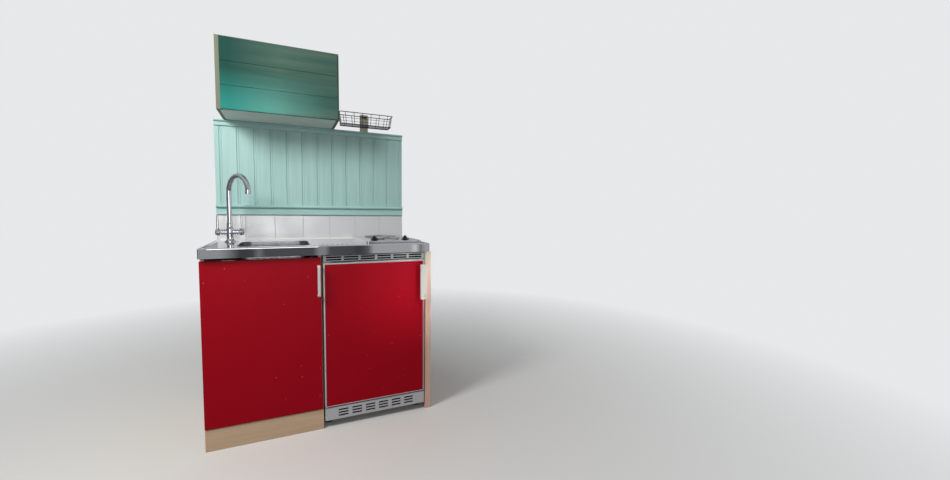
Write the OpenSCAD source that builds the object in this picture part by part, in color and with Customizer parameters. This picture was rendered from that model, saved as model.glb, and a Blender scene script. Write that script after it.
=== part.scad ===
// Fitted kitchenette of a small hut: steel sink top, cupboard, under-counter fridge,
// tiled and boarded splashback on battens, wall cupboard and bottle rack.
// Millimetres. X runs along the front, Y goes back to the wall, Z is up.
// The origin is at the centre of the footprint, on the floor.

/* [Worktop] */
// Height of the rolled front edge above the floor
worktop_h = 900; // [860:1:940]
// Depth from the front lip to the back edge
worktop_d = 600; // [580:1:640]
// How far the front lip stands in front of the doors
overhang = 18; // [10:1:30]
// Height of the folded front lip
lip_h = 45; // [35:1:55]
// Thickness of the steel sheet
sheet_t = 1.5; // [1:0.1:2]
// Outer radius of the rolled rim
rim_r = 6; // [4:0.5:8]
// How far the working surface lies below the rim
rim_drop = 5; // [3:0.5:8]
// Thickness of the board under the steel
core_t = 18; // [15:1:22]

/* [Sink] */
// Width of the bowl
bowl_w = 320; // [280:1:340]
// Depth of the bowl from front to back
bowl_d = 340; // [300:1:380]
// Height of the bowl
bowl_h = 150; // [120:1:180]
// Left side of the bowl from the left end of the worktop
bowl_x = 130; // [115:1:150]
// Front of the bowl behind the door fronts
bowl_y = 85; // [70:1:110]
// Corner radius of the bowl in plan
bowl_corner_r = 50; // [40:1:80]
// Radius where the bowl walls meet its floor
bowl_floor_r = 25; // [15:1:35]
// Radius of the waste hole
waste_r = 42; // [35:1:45]
// Number of drainer ribs
rib_count = 7; // [4:1:8]
// Distance between drainer ribs
rib_pitch = 24; // [20:1:25]
// Height from the bowl floor down to the top of the trap
trap_drop = 95; // [80:1:110]
// Height of the bottle trap
trap_h = 110; // [90:1:130]

/* [Tap] */
// Tap axis from the left end of the worktop
tap_x = 76; // [66:1:84]
// Tap axis behind the door fronts
tap_y = 440; // [420:1:480]
// Height of the lever arms above the working surface
tap_arm_h = 52; // [46:1:60]
// Distance from the tap axis to the end of each lever hub
tap_half_w = 66; // [60:1:70]
// Length of each lever
lever_len = 84; // [60:1:100]
// Radius of each lever
lever_r = 5.2; // [4:0.1:6]
// Radius of the swan neck bend
neck_r = 82; // [55:1:90]
// Radius of the swan neck tube
neck_tube_r = 11; // [8:0.5:12]
// Height of the top of the swan neck above the working surface
neck_h = 354; // [320:1:400]
// Length of the outlet below the end of the swan neck bend
nozzle_len = 12; // [8:1:40]
// Direction of the spout at rest, turned from straight forward towards the right
spout_turn = 36; // [20:1:60]

/* [Hob] */
// Width of the hob
hob_w = 290; // [280:1:300]
// Depth of the hob
hob_d = 480; // [470:1:505]
// Gap between the hob and the right end of the worktop
hob_end_gap = 19; // [19:1:33]
// Front of the hob behind the door fronts
hob_y = 68; // [40:1:72]
// Height of the hob plate above the working surface
hob_t = 15; // [6:1:18]
// Radius of the large hot plate
large_plate_r = 90; // [80:1:95]
// Radius of the small hot plate
small_plate_r = 72; // [65:1:80]
// Height of the hot plates above the hob
hot_plate_h = 6; // [5:0.5:12]
// Distance between the two control knobs
knob_pitch = 168; // [150:1:180]
// Distance of the knobs behind the front of the hob
knob_inset = 102; // [95:1:108]
// Radius of a knob's skirt
knob_r = 21.5; // [19:0.5:25]
// Height of a knob above the hob
knob_h = 21; // [18:1:28]

/* [Cupboard] */
// Width of the cupboard carcass
cupboard_w = 490; // [480:1:560]
// Thickness of the carcass boards
board_t = 16; // [15:1:19]
// Thickness of the door
door_t = 16; // [15:1:19]
// Gap between a closed door and the carcass
door_gap = 5; // [5:0.5:7]
// Height of the plinth
plinth_h = 100; // [80:1:120]
// How far the plinth lies behind the door front
plinth_recess = 5; // [2:1:10]
// Gap between the door and the worktop lip
door_top_gap = 13; // [8:1:20]
// Depth of the cupboard behind its door
cupboard_depth = 540; // [500:1:550]
// Distance from the front edge of the door to its hinge line, beside the carcass
hinge_offset = 3; // [2.5:0.5:4]
// Length of the cupboard handle
handle_len = 149; // [120:1:180]
// Width of the cupboard handle
handle_w = 13; // [11:1:18]
// How far the handles stand off their doors
handle_reach = 30; // [25:1:38]

/* [Fridge] */
// Width of the fridge
fridge_w = 501; // [490:1:560]
// Gap on each side of the fridge
fridge_gap = 6; // [6:0.5:8]
// Depth of the fridge cabinet behind its door
fridge_d = 450; // [420:1:470]
// Wall thickness of the fridge
fridge_wall = 34; // [28:1:40]
// Height of the step over the compressor
step_h = 190; // [175:1:200]
// Depth of the step over the compressor
step_d = 130; // [125:1:150]
// Distance from the lower shelf to the middle one
shelf_pitch = 180; // [160:1:200]
// Height of the ice box
ice_box_h = 120; // [100:1:140]
// Thickness of the fridge door
fridge_door_t = 36; // [32:1:40]
// Width of the grey trim round the door panel
trim_w = 6; // [5:0.5:8]
// Height of the open base under the fridge
fridge_foot_h = 37; // [25:1:44]
// Height of the top vent grille
top_grille_h = 27; // [24:1:30]
// Columns of slots in each grille
grille_cols = 6; // [4:1:7]
// Length of the fridge handle
fridge_handle_len = 180; // [150:1:220]
// Width of the fridge handle
fridge_handle_w = 34; // [26:1:38]
// How far the fridge handle stands off its door
fridge_reach = 43; // [36:1:50]
// Radius of the hinge pins
pin_r = 4; // [3:0.5:5]

/* [End panel] */
// Thickness of the beech post beyond the worktop
post_t = 14; // [12:1:20]

/* [Splashback] */
// Thickness of the wall battens
batten_t = 25; // [20:1:38]
// Width of the wall battens
batten_w = 45; // [38:1:60]
// Thickness of the matchboards
matchboard_t = 12; // [10:1:15]
// Distance between the joints of the matchboards
matchboard_pitch = 83; // [75:1:100]
// Height of the tiled strip above the rim of the worktop
tiled_h = 135; // [110:1:150]
// Width of a tile with its joint
tile_pitch = 150; // [140:1:155]
// Width of the joint between tiles
tile_joint = 2.5; // [2:0.5:4]
// Thickness of a tile
tile_t = 7; // [6:0.5:9]
// Height of the dado moulding
dado_h = 57; // [50:1:65]
// Height of the boards above the dado moulding, with the cap
boards_h = 461; // [400:1:500]
// Height of the cap moulding
cap_h = 32; // [26:1:40]

/* [Wall cupboard] */
// Left side of the wall cupboard from the left end of the worktop
wall_cup_x = 46; // [30:1:60]
// Width of the wall cupboard
wall_cup_w = 572; // [540:1:590]
// Height of the wall cupboard
wall_cup_h = 352; // [320:1:380]
// Depth of the wall cupboard carcass
wall_cup_d = 282; // [250:1:300]
// Carcass left showing at the hinge side of its door
wall_cup_reveal = 20; // [18:1:25]
// Carcass left showing at the other three sides of its door
wall_cup_edge = 8; // [5:1:12]
// Number of boards in its door
wall_cup_boards = 3; // [2:1:4]

/* [Bottle rack] */
// Width of the rack
rack_w = 312; // [260:1:325]
// Depth of the rack
rack_d = 96; // [80:1:110]
// Height of the rack
rack_h = 66; // [50:1:80]
// Radius of the rack wires
wire_r = 1.6; // [1.2:0.1:2.2]
// Gap between the wall cupboard and the rack
rack_gap = 27; // [14:1:37]
// Height of the rack above the cap moulding
rack_lift = 30; // [20:1:40]

/* [Hidden] */
$fn = 48;
eps = 0.01;

// Along the front
lip_inner = sheet_t + 0.5;
cupboard_x = lip_inner;
cupboard_right = cupboard_x + cupboard_w;
fridge_x = cupboard_right + fridge_gap;
fridge_right = fridge_x + fridge_w;
panel_x = fridge_right + fridge_gap;
worktop_w = panel_x + board_t + lip_inner;
total_w = worktop_w + post_t;

// From the front to the wall, measured from the front of the closed doors
carcass_y = door_t + door_gap;
worktop_front = -overhang;
worktop_back = worktop_front + worktop_d;
tile_face = worktop_back;
board_face = tile_face + 5;
batten_face = board_face + matchboard_t;
wall_y = batten_face + batten_t;
front_y = -fridge_reach - 1;

// Heights
surface_z = worktop_h - rim_drop;
core_top = surface_z - sheet_t;
core_bottom = core_top - core_t;
lip_z = worktop_h - lip_h;
door_top = lip_z - door_top_gap;
door_bottom = plinth_h + 3;
dado_z = worktop_h + tiled_h;
boards_z = dado_z + dado_h;
cap_top = boards_z + boards_h;
cap_z = cap_top - cap_h;

// Puts a piece that is laid out from the left end and the door fronts into the shared frame
module in_place()
{
    translate([-total_w / 2, -(front_y + wall_y) / 2, 0]) children();
}

// A block from its lowest to its highest corner
module block(low, high)
{
    translate(low) cube(high - low);
}

// A flat shape drawn in Y and Z, carried along X from x_from to x_to
module along_x(x_from, x_to)
{
    translate([x_from, 0, 0]) rotate([90, 0, 90]) linear_extrude(x_to - x_from) children();
}

// A flat shape drawn in X and Z, carried along Y from y_from to y_to
module along_y(y_from, y_to)
{
    translate([0, y_to, 0]) rotate([90, 0, 0]) linear_extrude(y_to - y_from) children();
}

// Rectangle with round corners, from its lowest corner
module round_rect(size, r)
{
    translate([r, 0]) square([size[0] - 2 * r, size[1]]);
    translate([0, r]) square([size[0], size[1] - 2 * r]);
    for (x = [r, size[0] - r], y = [r, size[1] - r]) translate([x, y]) circle(r);
}

// Ring of a flat shape: round rectangle outside, round rectangle inside
module round_frame(size, r, inset, inner_r)
{
    difference()
    {
        round_rect(size, r);
        translate([inset, inset])
            round_rect([size[0] - 2 * inset, size[1] - 2 * inset], inner_r);
    }
}

// Section of a tub across its width: straight walls and round floor corners
module tub_section(w, h, r)
{
    translate([-w / 2, r]) square([w, h - r]);
    translate([-w / 2 + r, 0]) square([w - 2 * r, h]);
    for (s = [-1, 1]) translate([s * (w / 2 - r), r]) circle(r);
}

// Solid tub with round upright corners of radius corner_r and a round floor edge
module tub(w, d, h, corner_r, floor_r)
{
    along_x(-w / 2 + corner_r, w / 2 - corner_r) tub_section(d, h, floor_r);
    along_y(-d / 2 + corner_r, d / 2 - corner_r) tub_section(w, h, floor_r);
    for (x = [-1, 1], y = [-1, 1])
        translate([x * (w / 2 - corner_r), y * (d / 2 - corner_r), 0])
            rotate_extrude() intersection()
            {
                tub_section(2 * corner_r, h, floor_r);
                square([corner_r, h]);
            }
}

/* Worktop */

roll_z = worktop_h - rim_r;
step_x = 2 * rim_r - sheet_t;
front_hem = 10;
rib_r = 3.5;

// Section of the folded edge: hem, outer face, rolled rim and the step to the surface
module lip_section(hem)
{
    translate([0, lip_z]) square([hem, sheet_t]);
    translate([0, lip_z]) square([sheet_t, roll_z - lip_z]);
    translate([rim_r, roll_z]) difference()
    {
        circle(rim_r);
        circle(rim_r - sheet_t);
        translate([-rim_r, -2 * rim_r]) square([2 * rim_r, 2 * rim_r]);
    }
    translate([step_x, core_top]) square([sheet_t, roll_z - core_top]);
}

// Outer half of the folded edge, turned round a front corner
module lip_corner(x, turn)
{
    translate([x, worktop_front + rim_r, 0]) rotate(turn)
        rotate_extrude(angle = 90) intersection()
        {
            translate([rim_r, 0]) mirror([1, 0]) lip_section(sheet_t);
            translate([0, lip_z]) square([rim_r, lip_h]);
        }
}

bowl_mid = [bowl_x + bowl_w / 2, bowl_y + bowl_d / 2];
hob_x = worktop_w - hob_end_gap - hob_w;
hob_mid_x = hob_x + hob_w / 2;
hob_tray = 14;
rib_x = bowl_x + bowl_w + 30;
rib_y = bowl_y + 15;
rib_len = bowl_d + 20;

module bowl_cut()
{
    translate([bowl_x, bowl_y]) round_rect([bowl_w, bowl_d], bowl_corner_r);
}

module hob_cut()
{
    translate([hob_x + hob_tray, hob_y + hob_tray])
        square([hob_w - 2 * hob_tray, hob_d - 2 * hob_tray]);
}

module worktop_sheet()
{
    in_place() color("silver") difference()
    {
        union()
        {
            block([step_x, worktop_front + step_x, core_top],
                [worktop_w - step_x, worktop_back, surface_z]);
            along_x(rim_r, worktop_w - rim_r) translate([worktop_front, 0]) lip_section(front_hem);
            along_y(worktop_front + rim_r, worktop_back)
            {
                lip_section(sheet_t);
                translate([worktop_w, 0]) mirror([1, 0]) lip_section(sheet_t);
            }
            lip_corner(rim_r, 180);
            lip_corner(worktop_w - rim_r, 270);
            // The ribs of the drainer are pressed up from the sheet
            along_y(rib_y, rib_y + rib_len) for (i = [0 : rib_count - 1]) intersection()
            {
                translate([rib_x + i * rib_pitch, core_top]) circle(rib_r);
                translate([rib_x + i * rib_pitch - rib_r, core_top]) square(2 * rib_r);
            }
        }
        translate([0, 0, core_top - 5]) linear_extrude(20) bowl_cut();
        translate([0, 0, core_top - 5]) linear_extrude(20) hob_cut();
        translate([tap_x, tap_y, core_top - 5]) cylinder(r = 17, h = 20);
    }
}

module worktop_core()
{
    in_place() color("tan") difference()
    {
        block([cupboard_x, carcass_y - 22, core_bottom],
            [worktop_w - lip_inner, worktop_back - 4, core_top]);
        translate([bowl_x - 6, bowl_y - 6, core_bottom - 1])
            cube([bowl_w + 12, bowl_d + 12, core_t + 2]);
        translate([0, 0, core_bottom - 1]) linear_extrude(core_t + 2) hob_cut();
        translate([tap_x, tap_y, core_bottom - 1]) cylinder(r = 17, h = core_t + 2);
    }
}

/* Sink */

module sink_bowl()
{
    in_place() color("silver") translate([bowl_mid[0], bowl_mid[1], surface_z - bowl_h])
        difference()
        {
            tub(bowl_w, bowl_d, bowl_h, bowl_corner_r, bowl_floor_r);
            translate([0, 0, sheet_t])
                tub(bowl_w - 2 * sheet_t, bowl_d - 2 * sheet_t, bowl_h,
                    bowl_corner_r - sheet_t, bowl_floor_r - sheet_t);
            translate([0, 0, -1]) cylinder(r = waste_r - 6, h = sheet_t + 2);
        }
}

// Strainer ring in the bowl floor, waste body below it and bottle trap with its outlet
module sink_waste()
{
    floor_z = surface_z - bowl_h;
    trap_top = floor_z - trap_drop;
    trap_r = 30;
    outlet_len = cupboard_back_y - 20 - bowl_mid[1];
    in_place() color("gainsboro") translate([bowl_mid[0], bowl_mid[1], 0])
    {
        difference()
        {
            union()
            {
                translate([0, 0, floor_z + sheet_t]) cylinder(r = waste_r, h = 2.5);
                translate([0, 0, floor_z - 30]) cylinder(r = waste_r - 8, h = 32);
                translate([0, 0, trap_top]) cylinder(r = 19, h = trap_drop - 25);
                translate([0, 0, trap_top - trap_h]) cylinder(r = trap_r, h = trap_h + 2);
                translate([0, 0, trap_top - trap_h - 12])
                    cylinder(r = trap_r + 5, h = 14);
                translate([0, 0, trap_top - trap_h / 3])
                    rotate([-90, 0, 0]) cylinder(r = 17, h = outlet_len);
            }
            translate([0, 0, floor_z - 20]) cylinder(r = waste_r - 12, h = 30);
        }
        // The strainer is a plate with holes, held inside the waste
        translate([0, 0, floor_z - 4]) difference()
        {
            cylinder(r = waste_r - 11.9, h = 2);
            for (a = [0 : 45 : 315]) rotate(a) translate([16, 0, -1]) cylinder(r = 4, h = 4);
        }
    }
}

/* Tap */

arm_r = 13;
hub_r = 17;
hub_len = 24;
column_r = 16;
collar_r = 14;
spigot_r = 7;
body_top = surface_z + tap_arm_h + 22;
arm_z = surface_z + tap_arm_h;
hub_in = tap_half_w - hub_len;

module tap_body()
{
    in_place() color("silver") translate([tap_x, tap_y, 0])
    {
        translate([0, 0, surface_z]) cylinder(r = 26, h = 5);
        translate([0, 0, surface_z + 5]) cylinder(r1 = 24, r2 = column_r, h = 9);
        translate([0, 0, core_bottom - 30]) cylinder(r = 10, h = 52);
        translate([0, 0, core_bottom - 12]) cylinder(r = 22, h = 12);
        translate([0, 0, surface_z + 10]) cylinder(r = column_r, h = body_top - surface_z - 10);
        translate([0, 0, body_top - eps]) cylinder(r = spigot_r, h = 13);
        translate([-hub_in + 0.6, 0, arm_z])
            rotate([0, 90, 0]) cylinder(r = arm_r, h = 2 * hub_in - 1.2);
        translate([-hub_in - 12, 0, arm_z])
            rotate([0, 90, 0]) cylinder(r = 6, h = 2 * hub_in + 24);
    }
}

// Swan neck that turns on the spigot of the body
module tap_spout()
{
    leg_z = body_top + 0.6;
    bend_z = surface_z + neck_h - neck_r - neck_tube_r;
    in_place() color("silver") translate([tap_x, tap_y, 0]) rotate(spout_turn - 90)
        difference()
        {
            union()
            {
                translate([0, 0, leg_z]) cylinder(r = collar_r, h = 24);
                translate([0, 0, leg_z + 20]) cylinder(r1 = 12.5, r2 = neck_tube_r, h = 14);
                translate([0, 0, leg_z + 10]) cylinder(r = neck_tube_r, h = bend_z - leg_z - 10);
                translate([neck_r, 0, bend_z]) rotate([90, 0, 0])
                    rotate_extrude(angle = 180) translate([neck_r, 0]) circle(neck_tube_r);
                translate([2 * neck_r, 0, bend_z - nozzle_len])
                    cylinder(r = neck_tube_r + 1.5, h = nozzle_len + 2);
            }
            translate([0, 0, leg_z - 1]) cylinder(r = spigot_r + 0.3, h = 15);
            translate([2 * neck_r, 0, bend_z - nozzle_len - 1]) cylinder(r = 9, h = 6);
        }
}

// One lever: hub on the arm of the body, collars, and the upright rod
module tap_lever(side)
{
    in_place() color("silver") translate([tap_x, tap_y, arm_z]) mirror([side < 0 ? 1 : 0, 0, 0])
        difference()
        {
            union()
            {
                translate([hub_in, 0, 0]) rotate([0, 90, 0]) cylinder(r = hub_r, h = hub_len - 4);
                translate([hub_in + hub_len - 4 - eps, 0, 0])
                    rotate([0, 90, 0]) cylinder(r1 = hub_r, r2 = hub_r - 4, h = 4);
                translate([hub_in + 6, 0, 0]) rotate([0, 90, 0]) cylinder(r = hub_r + 1.5, h = 3);
                translate([hub_in + 12, 0, 0]) rotate([0, 90, 0]) cylinder(r = hub_r + 1.5, h = 3);
                translate([hub_in + 13, 0, 0])
                    cylinder(r1 = lever_r, r2 = lever_r - 0.5, h = lever_len);
                translate([hub_in + 13, 0, lever_len - eps])
                    cylinder(r1 = lever_r - 0.5, r2 = lever_r - 2.5, h = 3);
            }
            translate([hub_in - 1, 0, 0]) rotate([0, 90, 0]) cylinder(r = 6.3, h = 14);
        }
}

/* Hob */

knob_y = hob_y + knob_inset;
knob_x = [hob_mid_x - knob_pitch / 2, hob_mid_x + knob_pitch / 2];
plate_top = surface_z + hob_t;
front_plate_y = knob_y + 13 + small_plate_r;
back_plate_y = hob_y + hob_d - 30 - large_plate_r;
plate_sunk = 2;
hot_plate_t = hot_plate_h + plate_sunk;
hot_plate_at = [[front_plate_y, small_plate_r], [back_plate_y, large_plate_r]];

module hob_plate()
{
    in_place() color("silver") difference()
    {
        union()
        {
            translate([hob_x, hob_y, surface_z])
                linear_extrude(hob_t) round_rect([hob_w, hob_d], 10);
            block([hob_x + hob_tray + 2, hob_y + hob_tray + 2, surface_z - 44],
                [hob_x + hob_w - hob_tray - 2, hob_y + hob_d - hob_tray - 2, surface_z + 1]);
            for (p = hot_plate_at)
                translate([hob_mid_x, p[0], plate_top - eps])
                    cylinder(r1 = p[1] + 7, r2 = p[1] + 4, h = hot_plate_h / 2);
        }
        for (p = hot_plate_at)
            translate([hob_mid_x, p[0], plate_top - plate_sunk])
                cylinder(r = p[1] + 2, h = hot_plate_t);
        for (x = knob_x) translate([x, knob_y, plate_top - 12]) cylinder(r = 4.3, h = 20);
    }
}

// Two cast plates with a shallow hollow in the middle
module hot_plates()
{
    in_place() color("dimgray")
        for (p = hot_plate_at)
            translate([hob_mid_x, p[0], plate_top - plate_sunk]) difference()
            {
                union()
                {
                    cylinder(r = p[1] - 2, h = hot_plate_t);
                    cylinder(r = p[1], h = hot_plate_t - 2);
                }
                translate([0, 0, hot_plate_t - 1.5]) cylinder(r = 22, h = 2);
            }
}

// Skirted knob with a finger grip that points to the back when off
module hob_knob(i)
{
    in_place() color("black") translate([knob_x[i], knob_y, plate_top + 1])
    {
        cylinder(r1 = knob_r, r2 = knob_r - 2, h = 5);
        translate([0, 0, 4]) cylinder(r1 = knob_r - 7, r2 = knob_r - 10, h = 8);
        translate([-4.5, 8 - knob_r, 4]) cube([9, 2 * knob_r - 16, knob_h - 5]);
        translate([0, 0, -11]) cylinder(r = 4, h = 13);
    }
}

/* Cupboard */

cupboard_back_y = carcass_y + cupboard_depth;

module cupboard_sides()
{
    in_place() color("burlywood") for (x = [cupboard_x, cupboard_right - board_t])
        block([x, carcass_y, 0], [x + board_t, cupboard_back_y, core_bottom]);
}

module cupboard_floor()
{
    in_place() color("burlywood")
        block([cupboard_x + board_t, carcass_y, plinth_h - board_t + 3],
            [cupboard_right - board_t, cupboard_back_y - 20, plinth_h + 3]);
}

module cupboard_back()
{
    in_place() color("ivory")
        block([cupboard_x + board_t, cupboard_back_y - 20, plinth_h - board_t + 3],
            [cupboard_right - board_t, cupboard_back_y - 14, core_bottom - 120]);
}

module cupboard_rails()
{
    in_place() color("burlywood")
    {
        block([cupboard_x + board_t, carcass_y, core_bottom - board_t],
            [cupboard_right - board_t, bowl_y - 12, core_bottom]);
        block([cupboard_x + board_t, cupboard_back_y - 20, core_bottom - 90],
            [cupboard_right - board_t, cupboard_back_y - 20 + board_t, core_bottom]);
    }
}

module plinth_board()
{
    in_place() color("burlywood")
        block([cupboard_x, plinth_recess, 0], [cupboard_right - 1, carcass_y, plinth_h - 2]);
}

door_right = cupboard_right - 3.5;
hinge_zs = [door_bottom + 90, door_top - 90];
cup_r = 17.5;
cup_x = cupboard_x + 22.5;

// The door covers the carcass and carries the two hinge cups in its back
module cupboard_door()
{
    in_place() color("firebrick") difference()
    {
        block([cupboard_x, 0, door_bottom], [door_right, door_t, door_top]);
        for (z = hinge_zs) translate([cup_x, door_t + 1, z])
            rotate([90, 0, 0]) cylinder(r = cup_r + 0.2, h = 12.5);
    }
}

module cupboard_hinge_cups()
{
    in_place() color("silver") for (z = hinge_zs) translate([cup_x, door_t, z])
    {
        rotate([90, 0, 0]) cylinder(r = cup_r, h = 11);
        translate([-10, 0, -26]) cube([20, 1.2, 52]);
    }
}

module cupboard_hinge_arms()
{
    in_place() color("silver") for (z = hinge_zs)
    {
        block([cupboard_x + board_t, carcass_y + 28, z - 25],
            [cupboard_x + board_t + 3, carcass_y + 52, z + 25]);
        block([cupboard_x + board_t, carcass_y + 1.5, z - 7],
            [cupboard_x + board_t + 14, carcass_y + 70, z + 7]);
    }
}

// Bar handle on two posts, standing up from its lower end at the door face
module bar_handle(w, length, reach, t, post_w, post_h)
{
    along_x(-w / 2, w / 2) translate([-reach, 0]) round_rect([t, length], t / 2 - 1);
    for (z = [2, length - 2 - post_h])
        block([-post_w / 2, -reach + t / 2, z], [post_w / 2, 0, z + post_h]);
}

handle_x = door_right - 11;
handle_z = door_top - 36 - handle_len;

module cupboard_door_handle()
{
    in_place() color("ivory") translate([handle_x, 0, handle_z])
        bar_handle(handle_w, handle_len, handle_reach, 8, handle_w - 3, 12);
}

/* Fridge */

fridge_front = fridge_door_t + 9;
fridge_back = fridge_front + fridge_d;
fridge_door_z = plinth_h + 3.5;
grille_top_z = lip_z - 7;
top_grille_z = grille_top_z - top_grille_h;
fridge_door_top = top_grille_z - 8;
box_z = fridge_door_z - 5;
box_top = fridge_door_top + 3;
skirt_t = 12;
cavity_x = fridge_x + fridge_wall;
cavity_right = fridge_right - fridge_wall;
cavity_back = fridge_back - fridge_wall - 8;
cavity_z = box_z + fridge_wall;
cavity_top = box_top - fridge_wall;
cabinet_top = grille_top_z + 2;

// Insulated box on two skirts, with a step at the back for the compressor
module fridge_cabinet()
{
    in_place() color("white") difference()
    {
        block([fridge_x, fridge_front, fridge_foot_h], [fridge_right, fridge_back, cabinet_top]);
        // Cold space above the step
        block([cavity_x, fridge_front - 1, cavity_z + step_h - 90],
            [cavity_right, cavity_back, cavity_top]);
        // Cold space in front of the step
        block([cavity_x, fridge_front - 1, cavity_z],
            [cavity_right, cavity_back - step_d, cavity_z + step_h]);
        // Open base between the skirts
        block([fridge_x + skirt_t, fridge_front - 1, fridge_foot_h - 1],
            [fridge_right - skirt_t, fridge_back + 1, box_z]);
        // Compressor space at the back
        block([fridge_x + skirt_t, fridge_back - step_d, fridge_foot_h - 1],
            [fridge_right - skirt_t, fridge_back + 1, box_z + step_h - 100]);
        // Air duct over the top
        block([fridge_x + skirt_t, fridge_front - 1, box_top],
            [fridge_right - skirt_t, fridge_back + 1, cabinet_top + 1]);
    }
}

// Grille plate with side returns that reach back to the cabinet
module grille(z, h, slot_w, slot_h, rows, row_pitch, pitch)
{
    face_y = 3;
    first_x = fridge_x + (fridge_w - (grille_cols - 1) * pitch - slot_w) / 2;
    first_z = z + (h - (rows - 1) * row_pitch - slot_h) / 2;
    difference()
    {
        union()
        {
            block([fridge_x, face_y, z], [fridge_right, face_y + 4, z + h]);
            for (x = [fridge_x, fridge_right - 2.5])
                block([x, face_y, z], [x + 2.5, fridge_front, z + h]);
        }
        for (i = [0 : grille_cols - 1], j = [0 : rows - 1])
            translate([first_x + i * pitch, face_y - 1, first_z + j * row_pitch])
                cube([slot_w, 6, slot_h]);
    }
}

top_slot_pitch = (fridge_w - 16) / grille_cols;
low_slot_pitch = (fridge_w - 104) / grille_cols;

module fridge_top_grille()
{
    in_place() color("silver")
        grille(top_grille_z, top_grille_h, top_slot_pitch - 11, 8, 2, 12, top_slot_pitch);
}

module fridge_plinth_grille()
{
    in_place() color("silver")
        grille(fridge_foot_h, box_z - fridge_foot_h, low_slot_pitch - 19, 8.5, 3, 14,
            low_slot_pitch);
}

module fridge_feet()
{
    in_place() color("dimgray")
        for (x = [fridge_x + 22, fridge_right - 22],
            y = [fridge_front + 30, fridge_back - 30])
            translate([x, y, 0])
            {
                cylinder(r = 17, h = 10);
                cylinder(r = 6, h = fridge_foot_h - 2);
                translate([-22, -17, fridge_foot_h - 4]) cube([44, 34, 4]);
            }
}

hinge_x = fridge_x + 9.5;
hinge_y = 8.5;

// Bracket on the front of the cabinet that carries one hinge pin
module fridge_hinge(plate_z, pin_z, flange_z)
{
    block([fridge_x + 3.5, hinge_y - 7, plate_z],
        [fridge_x + 34, fridge_front, plate_z + 2.5]);
    block([fridge_x + 3.5, fridge_front - 2.5, flange_z],
        [fridge_x + 34, fridge_front, flange_z + 22]);
    translate([hinge_x, hinge_y, pin_z]) cylinder(r = pin_r, h = 17);
}

module fridge_hinges()
{
    in_place() color("silver")
    {
        fridge_hinge(fridge_door_top + 2.5, fridge_door_top - 13, fridge_door_top + 2.5);
        fridge_hinge(fridge_door_z - 5, fridge_door_z - 4, fridge_door_z - 24.5);
    }
}

shelf_zs = [cavity_z + step_h, cavity_z + step_h + shelf_pitch];
shelf_front = fridge_front + 95;

module fridge_shelves()
{
    in_place() color("lightcyan") for (z = shelf_zs)
        block([cavity_x, shelf_front, z], [cavity_right, cavity_back, z + 5]);
}

// Ice box under the roof of the cold space, open at the front
module fridge_ice_box()
{
    low = cavity_top - ice_box_h;
    in_place() color("gainsboro") difference()
    {
        block([cavity_x, shelf_front, low], [cavity_right, cavity_back, cavity_top]);
        block([cavity_x + 4, shelf_front - 1, low + 4],
            [cavity_right - 4, cavity_back - 4, cavity_top - 4]);
    }
}

// Compressor on its tray, and the wire condenser on the back of the cabinet
module fridge_cooling_unit()
{
    mid_x = (fridge_x + fridge_right) / 2;
    rod_r = 2.5;
    rows = 8;
    low = box_z + step_h - 60;
    row_pitch = (cabinet_top - 60 - low) / (rows - 1);
    in_place() color("dimgray")
    {
        block([fridge_x + skirt_t, fridge_back - 118, fridge_foot_h],
            [fridge_right - skirt_t, fridge_back - 8, fridge_foot_h + 3]);
        translate([mid_x + 60, fridge_back - 62, fridge_foot_h + 2])
        {
            cylinder(r = 50, h = 70);
            translate([0, 0, 70]) scale([1, 1, 0.7]) sphere(r = 50);
        }
        // Condenser tube runs with upright rods that join them
        for (i = [0 : rows - 1])
            translate([fridge_x + 40, fridge_back + 8, low + i * row_pitch])
                rotate([0, 90, 0]) cylinder(r = rod_r, h = fridge_w - 80, $fn = 8);
        for (i = [0 : 6])
            translate([fridge_x + 50 + i * (fridge_w - 100) / 6, fridge_back + 11, low - 10])
                cylinder(r = 1.5, h = (rows - 1) * row_pitch + 20, $fn = 6);
        for (x = [fridge_x + 60, fridge_right - 60], z = [low, cabinet_top - 60])
            block([x - 6, fridge_back, z - 6], [x + 6, fridge_back + 10, z + 6]);
    }
}

panel_low = [fridge_x + trim_w, fridge_door_z + trim_w - 1];
panel_high = [fridge_right - trim_w, fridge_door_top - trim_w - 1];

// Door body with a raised trim round the pocket of the coloured panel
module fridge_door_frame()
{
    in_place() color("lightgray") difference()
    {
        translate([fridge_x, 0, 0]) linear_extrude_door();
        block([panel_low[0], -2, panel_low[1]], [panel_high[0], 4, panel_high[1]]);
        for (z = [fridge_door_z - 1, fridge_door_top - 17])
            translate([hinge_x, hinge_y, z]) cylinder(r = pin_r + 0.3, h = 18);
    }
}

// Plan of the door body: front corners are round so that they swing clear
module linear_extrude_door()
{
    r = 6;
    translate([0, 0, fridge_door_z]) linear_extrude(fridge_door_top - fridge_door_z)
    {
        translate([0, r - 1]) square([fridge_w, fridge_door_t - r + 1]);
        translate([r, -1]) square([fridge_w - 2 * r, r + 1]);
        for (x = [r, fridge_w - r]) translate([x, r - 1]) circle(r);
    }
}

module fridge_door_panel()
{
    in_place() color("firebrick")
        block([panel_low[0] + 0.3, 0, panel_low[1] + 0.3],
            [panel_high[0] - 0.3, 4, panel_high[1] - 0.3]);
}

liner_in = 16;
// Heights of the door trays as shares of the liner's height
tray_levels = [0, 0.4, 0.7];

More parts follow.
